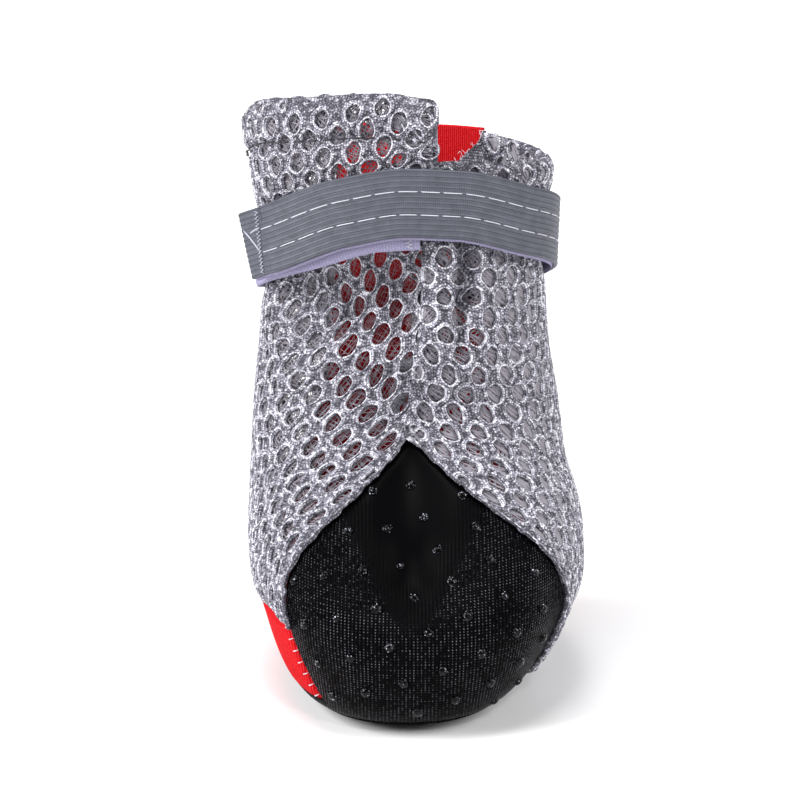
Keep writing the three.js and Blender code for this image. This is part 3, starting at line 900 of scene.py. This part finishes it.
def uneven_rims(opened, edge, random):
    """The outline of each hole round its centre, a little uneven, and each hole's size."""
    count = len(opened)
    size = 1 + random.uniform(-0.13, 0.1, (count, 2))
    size *= opened[:, None]
    drift = random.uniform(-0.12, 0.12, (count, 2))
    way = edge / np.linalg.norm(edge / [HOLE_ROUND, HOLE_UP], axis=1, keepdims=True)
    phases = random.uniform(0, 2 * np.pi, (3, count, 1))
    bearing = np.arctan2(edge[:, 1], edge[:, 0])[None]
    wobble = 1 + 0.05 * np.sin(2 * bearing + phases[0]) + 0.045 * np.sin(3 * bearing + phases[1])
    wobble = wobble + 0.035 * np.sin(5 * bearing + phases[2])
    return way[None] * (size[:, None, :] * wobble[..., None]) + drift[:, None, :], size[:, 0]


def welded(cloth, depth, rings):
    """Joins the points that neighbouring cells share: each cell's point numbers, and the flat points."""
    layer = np.broadcast_to(np.where(rings["depth"] > 0.5, 1, 0), cloth.shape[:3])
    keys = np.stack([np.rint(cloth[..., 0] * 200), np.rint(cloth[..., 1] * 200), layer], -1).reshape(-1, 3)
    _, first, index = np.unique(keys, axis=0, return_index=True, return_inverse=True)
    return index.reshape(cloth.shape[:3]), cloth.reshape(-1, 2)[first], depth.reshape(-1)[first]


def ring_quads(grid):
    """Corners of the faces between neighbouring directions and rings of a closed grid."""
    corners = [grid[:, :-1, :-1], grid[:, 1:, :-1], grid[:, 1:, 1:], grid[:, :-1, 1:]]
    return np.stack(corners, 3).reshape(-1, 4, *grid.shape[3:])


def yarn_places(local, rim, rings):
    """Each point's place on the yarn round its hole: beads along it, and distance from the edge."""
    around = local.shape[1]
    beads = np.arange(around + 1) * BEADS / around
    from_rim = np.linalg.norm(local - rim[:, :, None, :], axis=-1)
    from_rim = np.where(rings["depth"] > 0.2, -rings["depth"], from_rim)
    from_rim = np.concatenate([from_rim, from_rim[:, :1]], axis=1)
    return np.stack([np.broadcast_to(beads[None, :, None], from_rim.shape), from_rim], -1)


def pull_to_cut(half, flat, outside):
    """Moves the points just outside the outline onto it."""
    step = 0.15

    def inside(s, t):
        return half.cut(s, t).inside

    for _ in range(3):
        s, t = flat[outside, 0], flat[outside, 1]
        here = inside(s, t)
        by_s, by_t = (inside(s + step, t) - here) / step, (inside(s, t + step) - here) / step
        length = np.maximum(by_s**2 + by_t**2, 0.2)
        move = np.clip(-here / length, -1.2, 1.2)[:, None] * np.stack([by_s, by_t], -1)
        flat[outside] += np.where(here[:, None] < 0, move, 0)


def mesh_half(name, side, material, seed):
    """The open mesh of one half, hole by hole, cut to its outline and laid on the boot."""
    half = Half(side)
    edge, rings = hole_ring()
    centres, found = cells_within(half)
    opened = how_open(found)
    rim, size = uneven_rims(opened, edge, np.random.default_rng(seed))
    share = rings["share"][None, None, :, None]
    local = edge[None, :, None, :] * (1 - share) + rim[:, :, None, :] * share
    cloth = centres[:, None, None, :] + local
    # A closed cell is flat, so it has no raised yarn.
    proud = np.maximum(0.1 - rings["depth"], 0)
    depth = np.broadcast_to(rings["depth"] + (1 - opened)[:, None, None] * proud, cloth.shape[:3])

    index, flat, flat_depth = welded(cloth, depth, rings)
    quads = ring_quads(np.concatenate([index, index[:, :1]], axis=1))
    uvs = ring_quads(yarn_places(local, rim, rings))
    within = half.cut(flat[:, 0], flat[:, 1]).inside
    keep = (within[quads] > 0).any(axis=1)
    quads, uvs = quads[keep], uvs[keep]
    used = np.unique(quads)
    pull_to_cut(half, flat, used[within[used] < 0])
    cell = HOLE_PITCH_ROUND * HOLE_PITCH_UP / 2
    cells_kept = keep.sum() / (len(edge) * (len(rings["share"]) - 1))
    CUTS[name] = (*np.ptp(flat[used], axis=0) * MM, cells_kept * cell * MM * MM)

    renumber = np.full(len(flat), -1)
    renumber[used] = np.arange(len(used))
    flat, flat_depth = flat[used], flat_depth[used]
    points = half.lay(flat[:, 0], flat[:, 1], flat_depth)
    faces = renumber[quads].tolist()
    rim_faces = cut_rims(faces, points, flat_depth)
    threads_along = flat.sum(axis=1) / YARN_LOOP
    rim_uvs = [(threads_along[v], flat_depth[v]) for face in rim_faces for v in face]
    uvs = np.concatenate([uvs.reshape(-1, 2), np.array(rim_uvs).reshape(-1, 2)])
    obj = new_object(name, points, faces + rim_faces, material, uvs=uvs)
    clean(obj, 0.01)
    return obj, half, centres[size > 0.3], rim[size > 0.3]


def backing_net(name, half, centres, rims, threads, thick, material, seed):
    """The mesh's sheer backing, where it shows: fine threads that cross behind each hole."""
    random = np.random.default_rng(seed)
    steps = np.linspace(-1, 1, 4)
    found = half.cut(centres[:, 0], centres[:, 1])
    turn, up = found.turn, found.up
    lower = 0.4 * (1 - smoothstep(up, 48, 54))
    doubled = np.maximum.reduce([smoothstep(np.abs(turn), 30, 48), 1.3 * smoothstep(up, 73, 80), lower])
    thicker = thick * (1 + 2.4 * doubled)
    size = np.abs(rims).max(axis=1)[:, None]
    paths, radii = [], []
    for way in (-1, 1):
        for k in range(threads):
            offset = (k + 0.5) / threads * 2 - 1 + random.uniform(-0.18, 0.18, len(centres))
            reach = np.sqrt(np.clip(1 - offset**2, 0.05, 1)) * 1.1
            angle = np.radians(way * 40 + 8 + random.uniform(-20, 20, len(centres)))[:, None]
            bow = random.uniform(-0.2, 0.2, len(centres))
            run = steps[None] * reach[:, None]
            side = offset[:, None] + bow[:, None] * (1 - steps[None] ** 2)
            s = centres[:, None, 0] + size[..., 0] * (run * np.cos(angle) - side * np.sin(angle))
            t = centres[:, None, 1] + size[..., 1] * (run * np.sin(angle) + side * np.cos(angle))
            depth = BACKING_DEPTH + 0.05 * way + random.uniform(-0.04, 0.04, s.shape)
            paths.append(np.stack([s, t, depth], -1))
            radii.append(thicker * random.uniform(0.7, 1.25, len(centres)))
    paths, radii = np.concatenate(paths), np.concatenate(radii)
    s, t, depth = paths[..., 0].ravel(), paths[..., 1].ravel(), paths[..., 2].ravel()
    inside = half.cut(s, t).inside.reshape(paths.shape[:2]).min(axis=1) > -0.1
    placed = half.lay(s, t, depth).reshape(paths.shape)
    return tubes(name, placed[inside], radii[inside], material, sides=3, taper=False)


def cap_binding(name, half, first_up, material):
    """The rolled edge of the mesh where it lies on the toe cap, a little scalloped by the holes."""
    up = np.arange(first_up, PEAK - 0.4, 0.25)
    per_turn = np.linalg.norm(surface(20, up) - surface(19, up), axis=-1)
    turn = along(half.seam, "up", "turn", up)
    points = surface(turn, up)
    run = np.concatenate([[0], np.cumsum(np.linalg.norm(np.diff(points, axis=0), axis=1))])
    wave = 0.16 * np.sin(2 * np.pi * run / HOLE_PITCH_ROUND) + 0.07 * np.sin(2 * np.pi * run / 1.7)
    turn = turn - half.side * (CAP_OVERLAP - 0.15 + wave) / per_turn
    depth = 0.12 + 0.08 * np.sin(2 * np.pi * run / 2.3)
    return tubes(name, [skin(turn, up, depth)], 0.42, material, sides=10)


# ---------------------------------------------------------------- sole and toe cap


def cap_edge(left, up):
    """The turn of the cap's edge at a height, on the left or the right."""
    return np.where(left, along(CAP_SEAM_LEFT, "up", "turn", up), along(CAP_SEAM_RIGHT, "up", "turn", up))


def sole_piece(material):
    """Sole and toe cap in one: the bottom, a low lip all round, and the cap from its feet up to the peak."""
    cap_columns, heel_columns, bottom_rows, lip_rows, cap_rows = 150, 90, 14, 8, 84
    columns, lip_row = cap_columns + heel_columns, bottom_rows + lip_rows
    left_foot, right_foot = CAP_SEAM_LEFT["turn"][0], CAP_SEAM_RIGHT["turn"][0]
    column = np.arange(columns)
    turns = np.where(
        column <= cap_columns,
        left_foot + (right_foot - left_foot) * column / cap_columns,
        right_foot + (left_foot + 360 - right_foot) * (column - cap_columns) / heel_columns,
    )
    wall = 1.1
    outer = np.zeros((lip_row + cap_rows + 1, columns, 3))
    inner = np.zeros_like(outer)
    uv = np.zeros((lip_row + cap_rows + 1, columns, 2))
    arcs = ArcMap(0.0, 0.0)

    def lifted(points):
        middle = 1 - smoothstep(np.abs(points[..., 1] - ARCH_MIDDLE), 0, ARCH_LENGTH / 2)
        low = 1 - smoothstep(points[..., 2], SOLE_WALL, SOLE_LIP)
        points[..., 2] += ARCH_LIFT * middle * low
        return points

    for row in range(lip_row + cap_rows + 1):
        if row <= bottom_rows:
            share = row / bottom_rows
            rim = surface(turns, 0.0)
            outer[row] = rim * share
            outer[row, :, 2] = DOT_HEIGHT
            rim = skin(turns, SOLE_WALL, SOLE_WALL, folded=False)
            inner[row] = rim * share
            inner[row, :, 2] = DOT_HEIGHT + wall
            uv[row] = outer[row, :, :2] - [0, 60]
        elif row <= lip_row:
            rise = (row - bottom_rows) / lip_rows
            up = SOLE_LIP * rise
            outer[row] = skin(turns, up, DOT_HEIGHT)
            outer[row, :, 2] = np.maximum(outer[row, :, 2], DOT_HEIGHT)
            inner[row] = skin(turns, max(up, SOLE_WALL), wall + DOT_HEIGHT)
            inner[row, :, 2] = np.maximum(inner[row, :, 2], DOT_HEIGHT + wall)
            uv[row, :, 0] = arcs.at(arcs.around, turns, np.full(columns, up))
            uv[row, :, 1] = arcs.at(arcs.over, turns, np.full(columns, up))
        else:
            rise = (row - lip_row) / cap_rows
            share = np.minimum(column, cap_columns) / cap_columns
            side_share = np.abs(2 * share - 1)
            seam_up = CAP_SIDE_TOP + (INSTEP_HEIGHT - CAP_SIDE_TOP) * (1 - side_share)
            left = share < 0.5
            foot = np.where(left, left_foot, right_foot)
            up = SOLE_LIP + (seam_up - SOLE_LIP) * rise
            base = left_foot + (right_foot - left_foot) * share
            top = cap_edge(left, seam_up)
            straight = base + (top - base) * rise
            bow = cap_edge(left, up) - (foot + (top - foot) * rise)
            turn = straight + bow * side_share**6
            away = np.minimum((seam_up - up) * 0.7, (1 - side_share) * 38)
            tuck = 0.45 * np.exp(-((away / 0.8) ** 2))
            outer[row] = skin(turn, up, DOT_HEIGHT + tuck)
            inner[row] = skin(turn, up, DOT_HEIGHT + wall)
            uv[row, :, 0] = arcs.at(arcs.around, turn, up)
            uv[row, :, 1] = arcs.at(arcs.over, turn, up)
    lifted(outer[: lip_row + 1])
    lifted(inner[: lip_row + 1])
    present = np.ones((lip_row + cap_rows, columns), bool)
    present[lip_row:, cap_columns:] = False
    return grid_shell("sole_and_toe_cap", outer, inner, uv, material, present, wraps=True)


def dot_lattice():
    """Places of the dots on flat cloth, in rows that lean."""
    lean = math.radians(DOT_LEAN)
    for i in DOT_ROWS:
        for j in DOT_ROWS:
            x, y = i * math.cos(lean) - j * math.sin(lean), i * math.sin(lean) + j * math.cos(lean)
            yield DOT_PITCH * x, DOT_PITCH * y


def cap_dot_spots():
    """Where dots stand on the cap, and their directions."""
    arcs = ArcMap(0.0, 20.0)
    for x, y in dot_lattice():
        s, t = x + DOTS_ROUND, y + DOTS_UP
        turn, up = (float(v[0]) for v in arcs.place(np.array([s]), np.array([t]), 0.0))
        side = -1 if turn < 0 else 1
        seam = CAP_SEAM_LEFT if turn < 0 else CAP_SEAM_RIGHT
        reach = float(along(seam, "up", "turn", up)) * side
        if up < 3.0 or up > INSTEP_HEIGHT - 1.6 or abs(turn) > reach - 3.5:
            continue
        if abs(float(arcs.at(arcs.over, np.array([turn]), np.array([up]))[0]) - t) > 0.3:
            continue
        normal = skin(turn, up, -1.0) - skin(turn, up, 0.0)
        yield skin(turn, up, DOT_HEIGHT + 0.05), normal / np.linalg.norm(normal)


def underside_dot_spots():
    """Where dots stand under the sole, and their directions."""
    for x, y in dot_lattice():
        angle = math.degrees(math.atan2(x, -y))
        rim = float(np.hypot(*surface(angle, 0.0)[:2]))
        if math.hypot(x, y) < rim - DOT_RADIUS:
            lift = ARCH_LIFT * float(1 - smoothstep(abs(y - ARCH_MIDDLE), 0, ARCH_LENGTH / 2))
            yield np.array([x, y, DOT_HEIGHT + 0.02 + lift]), np.array([0, 0, -1.0])


def from_lowest(corners):
    """A face's corners from its lowest one on. Bisect gives its faces in a new order on each run."""
    first = corners.index(min(corners))
    return corners[first:] + corners[:first]


def grip_dots(material):
    """Silicone dots, one modelled as a low dome and copied over the cap and the underside."""
    bpy.ops.object.select_all(action="DESELECT")
    bpy.ops.mesh.primitive_uv_sphere_add(segments=16, ring_count=10, radius=1.0, location=(0, 0, 0))
    dome = bpy.context.object
    bpy.ops.object.mode_set(mode="EDIT")
    bpy.ops.mesh.select_all(action="SELECT")
    bpy.ops.mesh.bisect(plane_co=(0, 0, -0.12), plane_no=(0, 0, 1), clear_inner=True, use_fill=True)
    bpy.ops.object.mode_set(mode="OBJECT")
    template = np.array([v.co for v in dome.data.vertices])
    template *= [DOT_RADIUS, DOT_RADIUS, DOT_HEIGHT * 1.15]
    shapes = sorted(from_lowest(tuple(face.vertices)) for face in dome.data.polygons)
    bpy.data.objects.remove(dome)

    points, faces = [], []
    random = np.random.default_rng(31)
    for here, normal in (*cap_dot_spots(), *underside_dot_spots()):
        size = random.uniform(0.78, 1.02)
        turned = Vector(normal).to_track_quat("Z", "Y").to_matrix()
        start = sum(len(p) for p in points)
        points.append(template * [size, size, 1.0] @ np.array(turned).T + here)
        faces += [tuple(v + start for v in shape) for shape in shapes]
    points = np.concatenate(points)
    points[:, 2] = np.maximum(points[:, 2], 0.0)
    return new_object("grip_dots", points, faces, material)


# ---------------------------------------------------------------- back panel


def back_panel(material):
    """The red knit: down the back from the collar, round a corner at the left, and forward to the cap."""
    rows, level_columns, fan_columns, forward_columns = 44, 130, 50, 44
    columns = level_columns + fan_columns + forward_columns
    foot, right_turn = SOLE_LIP + 0.25, PANEL_RIGHT_TURN - 360 + 0.3
    corner_up, corner_turn = PANEL_FORWARD_TOP - 0.1, float(PANEL_LEFT_EDGE["turn"][0])
    left_low = PANEL_FORWARD_TOP + 0.6
    wall = 0.8
    turn, level = np.zeros((rows + 1, columns + 1)), np.zeros((rows + 1, columns + 1))
    for column in range(columns + 1):
        down = min(1.0, column / level_columns)
        fan = np.clip((column - level_columns) / fan_columns, 0, 1)
        forward = np.clip((column - level_columns - fan_columns) / forward_columns, 0, 1)
        if column <= level_columns:
            left_up = COLLAR_HEIGHT + (left_low - COLLAR_HEIGHT) * down
            left = (left_up, float(along(PANEL_LEFT_EDGE, "up", "turn", left_up)) - 0.3)
            right = (COLLAR_HEIGHT + (foot - COLLAR_HEIGHT) * down, right_turn)
        else:
            low_turn = right_turn + (corner_turn - right_turn) * fan
            right, left = (foot, low_turn), (corner_up, corner_turn)
        share = np.arange(rows + 1) / rows
        level[:, column] = right[0] + (left[0] - right[0]) * share
        straight = right[1] + (left[1] - right[1]) * share
        cap_edge = along(CAP_SEAM_LEFT, "up", "turn", level[:, column]) - 0.5
        turn[:, column] = straight + (cap_edge - straight) * forward
    stretch = np.clip((level - STRETCH_FROM) / (COLLAR_HEIGHT - STRETCH_FROM), 0, 1)
    up = level + stretch * (along(LEFT_COLLAR, "turn", "up", turn) - COLLAR_HEIGHT)
    edge_rows = np.minimum(np.arange(rows + 1), rows - np.arange(rows + 1))[:, None]
    edge_columns = np.minimum(np.arange(columns + 1) * 0.6 + 0.6, columns - np.arange(columns + 1))[None, :]
    tuck = 0.55 * np.exp(-((np.minimum(edge_rows, edge_columns * 1.2) / 1.2) ** 2))
    outer = skin(turn, up, 0.35 + tuck)
    inner = skin(turn, up, 0.35 + wall)
    uv = np.stack([np.radians(turn) * MM_PER_RADIAN, up], -1)
    return grid_shell("back_panel_knit", outer, inner, uv, material)


def seam_allowance(material, thread):
    """The mesh turned in behind the right seam, wider lower down, with loose ends of yarn at its cut edge."""
    rows, columns, top = 40, 24, 75.6
    up = np.linspace(top, 50.0, rows + 1)[:, None]
    width = 2 + 14 * smoothstep(top - up, 0.5, 6.0)
    turn = PANEL_RIGHT_TURN - 1.2 + width * np.linspace(0, 1, columns + 1)[None]
    random = np.random.default_rng(41)
    up = up + np.zeros_like(turn)
    outer = skin(turn, up, 1.35)
    inner = skin(turn, up, 1.75 + random.uniform(-0.08, 0.08, turn.shape))
    uv = np.stack([np.radians(turn) * MM_PER_RADIAN / YARN_LOOP, up], -1)
    strip = grid_shell("seam_allowance_right", outer, inner, uv, material)
    ends = []
    steps = np.linspace(0, 1, 7)
    for _ in range(44):
        row = int(random.uniform(0, rows * 0.45))
        reach, fall, curl = random.uniform(0.8, 3.6), random.uniform(-1.2, 0.9), random.uniform(-0.7, 0.7)
        turns = turn[row, -1] - 1.5 + reach * steps
        ups = up[row, -1] + fall * steps + curl * np.sin(np.pi * steps)
        ends.append(skin(turns, np.minimum(ups, top), 1.6 + random.uniform(0, 0.5) * steps))
    return strip, tubes("seam_yarn_ends", ends, 0.045, thread, sides=4)


# ---------------------------------------------------------------- strap


def wrapped(line, count):
    """Points along a band's middle line, with its directions across and outward."""
    share = np.linspace(0, 1, count)
    turns = line["turn"][0] + (line["turn"][-1] - line["turn"][0]) * share

    def at(turn):
        return skin(turn, along(line, "turn", "up", turn), -along(line, "turn", "off", turn), folded=False)

    points = at(turns)
    heading = at(turns + 0.8) - at(turns - 0.8)
    ups = along(line, "turn", "up", turns)
    rise = surface(turns, ups + 3) - surface(turns, ups - 3)
    outward = np.cross(heading, rise)
    outward /= np.linalg.norm(outward, axis=1, keepdims=True)
    across = np.cross(outward, heading)
    across /= np.linalg.norm(across, axis=1, keepdims=True)
    return points, across, outward


def strap_stations():
    """The strap's middle line with its directions, from its free end round to the back."""
    points, across, outward = wrapped(STRAP_LINE, 220)
    heading = points[0] - points[1]
    heading /= np.linalg.norm(heading)
    steps = np.linspace(1, 0, 26, endpoint=False)[:, None]
    free = points[0] + heading * steps * STRAP_FREE_LENGTH
    twist = np.radians(steps * STRAP_FREE_TWIST)
    free_across = across[:1] * np.cos(twist) + np.cross(outward[0], across[0])[None] * np.sin(twist)
    free_outward = np.repeat(outward[:1], len(free), axis=0)
    return (
        np.concatenate([free, points]),
        np.concatenate([free_across, across]),
        np.concatenate([free_outward, outward]),
    )


def band(name, stations, width, top, bottom, material, ribs=0, rib_height=0.0, drop=0.0):
    """A tape between two heights over its line, with raised ribs along it."""
    points, across, outward = stations
    lines = 61 if ribs else 17
    y = np.linspace(-0.5, 0.5, lines)
    profile = rib_height * np.abs(np.sin(np.pi * ribs * (y + 0.5))) if ribs else np.zeros(lines)
    edge = np.minimum(y + 0.5, 0.5 - y) * width
    rounding = 0.18 * (1 - np.sqrt(np.clip(1 - (1 - np.minimum(edge / 0.25, 1)) ** 2, 0, 1)))
    offset = across[None] * (y * width - drop)[:, None, None]
    outer = points[None] + offset + outward[None] * (top + profile - rounding)[:, None, None]
    inner = points[None] + offset + outward[None] * (bottom + rounding)[:, None, None]
    run = np.concatenate([[0], np.cumsum(np.linalg.norm(np.diff(points, axis=0), axis=1))])
    uv = np.stack(np.broadcast_arrays(run[None, :], (y * width)[:, None]), -1)
    return grid_shell(name, outer, inner, uv, material), run


def on_band(stations, run, distance, side, height):
    """A point on a band, at a distance along it and to one side of its middle."""
    points, across, outward = stations

    def pick(values):
        return np.stack([np.interp(distance, run, values[:, k]) for k in range(3)], -1)

    side, height = np.asarray(side)[..., None], np.asarray(height)[..., None]
    return pick(points) + pick(across) * side + pick(outward) * height


def zigzag(stations, run, distance, height):
    """A zigzag of thread across a band."""
    turns = 34
    places = distance + np.where(np.arange(turns) % 2, 0.34, -0.34)
    return on_band(stations, run, places, np.linspace(4.5, -4.7, turns), np.full(turns, height))


def strap_stitches(stations, run):
    """Two rows of running stitches along the strap, and a zigzag tack with a point near its free end."""
    rows = []
    for side in (-STRAP_WIDTH / 6, STRAP_WIDTH / 6):
        start = TACK_FROM_END + 0.3
        while start + STITCH < run[-1] - 1:
            places = start + np.linspace(0, STITCH, 7)
            height = 1.04 + 0.16 * np.sin(np.linspace(0, np.pi, 7)) ** 0.5
            rows.append(on_band(stations, run, places, np.full(7, side), height))
            start += STITCH + STITCH_GAP
    running = tubes("strap_stitches", rows, 0.075, PALE_THREAD, taper=False)
    front = zigzag(stations, run, TACK_FROM_END, 1.2)
    back = zigzag(stations, run, run[-1] - 1.6, 1.2)
    upper_run, lower_run = np.linspace(TACK_FROM_END, 1.6, 6), np.linspace(TACK_FROM_END, 0.4, 8)
    upper_leg = on_band(stations, run, upper_run, np.linspace(2.0, 1.6, 6), np.full(6, 1.16))
    lower_leg = on_band(stations, run, lower_run, np.linspace(-1.6, 2.3, 8), np.full(8, 1.16))
    tacked = tubes("strap_tack", [front, back, upper_leg, lower_leg], 0.14, GREY_THREAD)
    return running, tacked


def seam_stitches():
    """The hem's dark running stitch, and short white stitches between the cap and the back panel."""
    hem = []
    for half, first, last in ((left_half, -139.0, 12.0), (right_half, -4.0, 130.0)):
        turn = first
        while turn < last:
            turns = turn + np.linspace(0, 4.6, 6)
            ups = along(half.collar, "turn", "up", turns) - HEM_DEPTH
            sink = 0.3 * (1 - np.sin(np.linspace(0, np.pi, 6)))
            in_front = 0.3 * (1 - smoothstep(np.abs(turns), 30, 60))
            by_lap = 0.45 * (1 - smoothstep(np.abs(turns), 5, 25))
            hem.append(half.on_cloth(turns, ups, sink - 0.4 - in_front - by_lap))
            turn += 6.6
    cap = []
    for up in np.arange(4.6, PANEL_FORWARD_TOP, 1.7):
        seam = float(along(CAP_SEAM_LEFT, "up", "turn", up))
        turns = seam + np.linspace(-2.2, 0.3, 5)
        sink = 0.5 * (1 - np.sin(np.linspace(0, np.pi, 5)))
        cap.append(skin(turns, up + np.linspace(0, 0.5, 5), 0.05 + sink))
    return tubes("hem_stitches", hem, 0.17, DARK_THREAD), tubes("cap_stitches", cap, 0.08, WHITE_THREAD)


def insole_plate(material):
    """A soft felt plate with a rounded edge, a little over the inside of the sole."""
    columns, rings = 96, 14
    turns = np.arange(columns) * 360 / columns
    low, thick = SOLE_WALL + 0.2, 1.2
    rim = skin(turns, low, SOLE_WALL + 1.8, folded=False)
    share = np.linspace(0, 1, rings + 1) ** 0.6
    points = rim[None] * share[:, None, None]
    points[..., 2] = 0
    arch = ARCH_LIFT * (1 - smoothstep(np.abs(points[..., 1] - ARCH_MIDDLE), 0, ARCH_LENGTH / 2))
    edge = np.linalg.norm(rim[:, :2], axis=1)[None] * (1 - share[:, None])
    round_off = 0.5 * (1 - np.sqrt(np.clip(1 - (1 - np.clip(edge / 0.6, 0, 1)) ** 2, 0, 1)))
    top, bottom = points.copy(), points.copy()
    top[..., 2] = low + thick + arch - round_off
    bottom[..., 2] = low + arch + round_off
    return grid_shell("insole_felt", bottom, top, points[..., :2], material, wraps=True)


# ---------------------------------------------------------------- make the pieces

YARN, KNIT, RED = mesh_yarn(), grip_knit(), red_knit()
TAPE, LOOP, SILICONE, FELT = reflective_tape(), loop_tape(), silicone(), felt()
WHITE_THREAD = sewing_thread("white_polyester_thread", "#D2D1DA")
PALE_THREAD = sewing_thread("pale_grey_polyester_thread", "#BEBDC7")
GREY_THREAD = sewing_thread("grey_polyester_thread", "#9C9CAA")
DARK_THREAD = sewing_thread("dark_polyester_thread", "#17161C", sheen=0.0)
NET = sewing_thread("polyester_backing_filament", "#85808A")

left_flap, left_half, left_holes, left_rims = mesh_half("upper_mesh_left", -1, YARN, 11)
right_flap, right_half, right_holes, right_rims = mesh_half("upper_mesh_right", 1, YARN, 12)
left_net = backing_net("backing_net_left", left_half, left_holes, left_rims, 8, 0.028, NET, 13)
right_net = backing_net("backing_net_right", right_half, right_holes, right_rims, 9, 0.08, NET, 14)
left_binding = finish_piece(cap_binding("cap_binding_left", left_half, PANEL_FORWARD_TOP, YARN), "air_mesh")
right_binding = finish_piece(cap_binding("cap_binding_right", right_half, SOLE_LIP + 1, YARN), "air_mesh")
finish_piece(left_flap, "air_mesh", "upper")
finish_piece(right_flap, "air_mesh", "upper")
finish_piece(left_net, "air_mesh")
finish_piece(right_net, "air_mesh")

sole = finish_piece(sole_piece(KNIT), "grip_knit", "sole")
dots = finish_piece(grip_dots(SILICONE), "grip_knit")
panel = finish_piece(back_panel(RED), "back_knit", "back_panel")
felt_plate = finish_piece(insole_plate(FELT), "insole_felt", "insole")
allowance, yarn_ends = seam_allowance(YARN, WHITE_THREAD)
finish_piece(allowance, "air_mesh")
finish_piece(yarn_ends, "air_mesh")

strap_line = strap_stations()
strap, strap_run = band(
    "strap_tape", strap_line, STRAP_WIDTH, TAPE_TOP, TAPE_BOTTOM, TAPE, ribs=STRAP_RIBS, rib_height=RIB_HEIGHT
)
backing, _ = band("strap_backing", strap_line, STRAP_WIDTH, BACKING_TOP, 0.0, LOOP, drop=BACKING_DROP)
base_line = wrapped(BASE_LINE, 160)
base, base_run = band("strap_loop_tape", base_line, STRAP_WIDTH, BASE_THICKNESS, 0.1, LOOP)
finish_piece(strap, "reflective_tape", "strap")
finish_piece(backing, "loop_tape", "strap")
finish_piece(base, "loop_tape", "strap_base")
running, strap_tack = strap_stitches(strap_line, strap_run)
finish_piece(running, "reflective_tape")
finish_piece(strap_tack, "reflective_tape")
base_ends = [zigzag(base_line, base_run, at, BASE_THICKNESS + 0.1) for at in (1.6, base_run[-1] - 1.6)]
base_tack = finish_piece(tubes("strap_base_tack", base_ends, 0.12, WHITE_THREAD), "loop_tape")
hem_stitches, cap_stitches = seam_stitches()
finish_piece(hem_stitches, "air_mesh")
finish_piece(cap_stitches, "back_knit")

# ---------------------------------------------------------------- the pieces of cloth


def cut_from(obj, flat=None):
    """Works out a piece of cloth's cut size and area, which are not used further."""
    width, length, area = (float(v) for v in CUTS[obj.name])
    flat = flat or (width, length)
    area = min(area, flat[0] * flat[1])


cut_from(left_flap)
cut_from(right_flap)
cut_from(panel)
cut_from(sole, flat=SOLE_CUT)
cut_from(felt_plate, flat=INSOLE_CUT)
cut_from(strap)
cut_from(backing)
cut_from(base)

# ---------------------------------------------------------------- stage


def area_light(name, place, aim, size, power):
    """A white softbox at a place in metres, aimed at a point."""
    data = bpy.data.lights.new(name, "AREA")
    data.shape = "RECTANGLE"
    data.size, data.size_y = size
    data.energy = power
    light = bpy.data.objects.new(name, data)
    light.location = Vector(place)
    light.rotation_euler = (Vector(aim) - Vector(place)).to_track_quat("-Z", "Y").to_euler()
    bpy.context.scene.collection.objects.link(light)


def stage():
    """Paper floor, lights and the camera."""
    scene = bpy.context.scene
    bpy.ops.object.select_all(action="DESELECT")
    bpy.ops.mesh.primitive_plane_add(size=6.0, location=(0, 0, 0))
    floor = bpy.context.object
    floor.name = "floor"
    paper, _, _ = new_material("white_paper_floor", "#F4F4F5", 0.9)
    floor.data.materials.append(paper)
    world = bpy.data.worlds.new("studio")
    scene.world = world
    world.use_nodes = True
    world.node_tree.nodes["Background"].inputs[0].default_value = linear("#FFFFFF")
    world.node_tree.nodes["Background"].inputs[1].default_value = 0.18
    middle = (0, 0, 0.045)
    area_light("left_softbox", (-1.15, -0.4, 0.85), middle, (0.7, 0.9), 32.0)
    area_light("right_softbox", (1.15, -0.35, 0.8), middle, (0.7, 0.9), 16.0)
    area_light("small_lamp", (0.3, -0.9, 0.85), middle, (0.09, 0.09), 2.2)
    area_light("top_softbox", (-0.1, -0.1, 1.5), middle, (0.6, 0.5), 12.0)
    scene.view_settings.view_transform = "Standard"

    data = bpy.data.cameras.new("camera")
    camera = bpy.data.objects.new("camera", data)
    scene.collection.objects.link(camera)
    away = Vector((0, -math.cos(CAMERA_TILT), math.sin(CAMERA_TILT)))
    camera.location = (CAMERA_TARGET + away * CAMERA_DISTANCE) * MM
    camera.rotation_euler = (-away).to_track_quat("-Z", "Y").to_euler()
    data.sensor_width = 36.0
    data.lens = data.sensor_width * CAMERA_DISTANCE / CAMERA_SPAN
    data.clip_start = 0.01
    scene.camera = camera


stage()
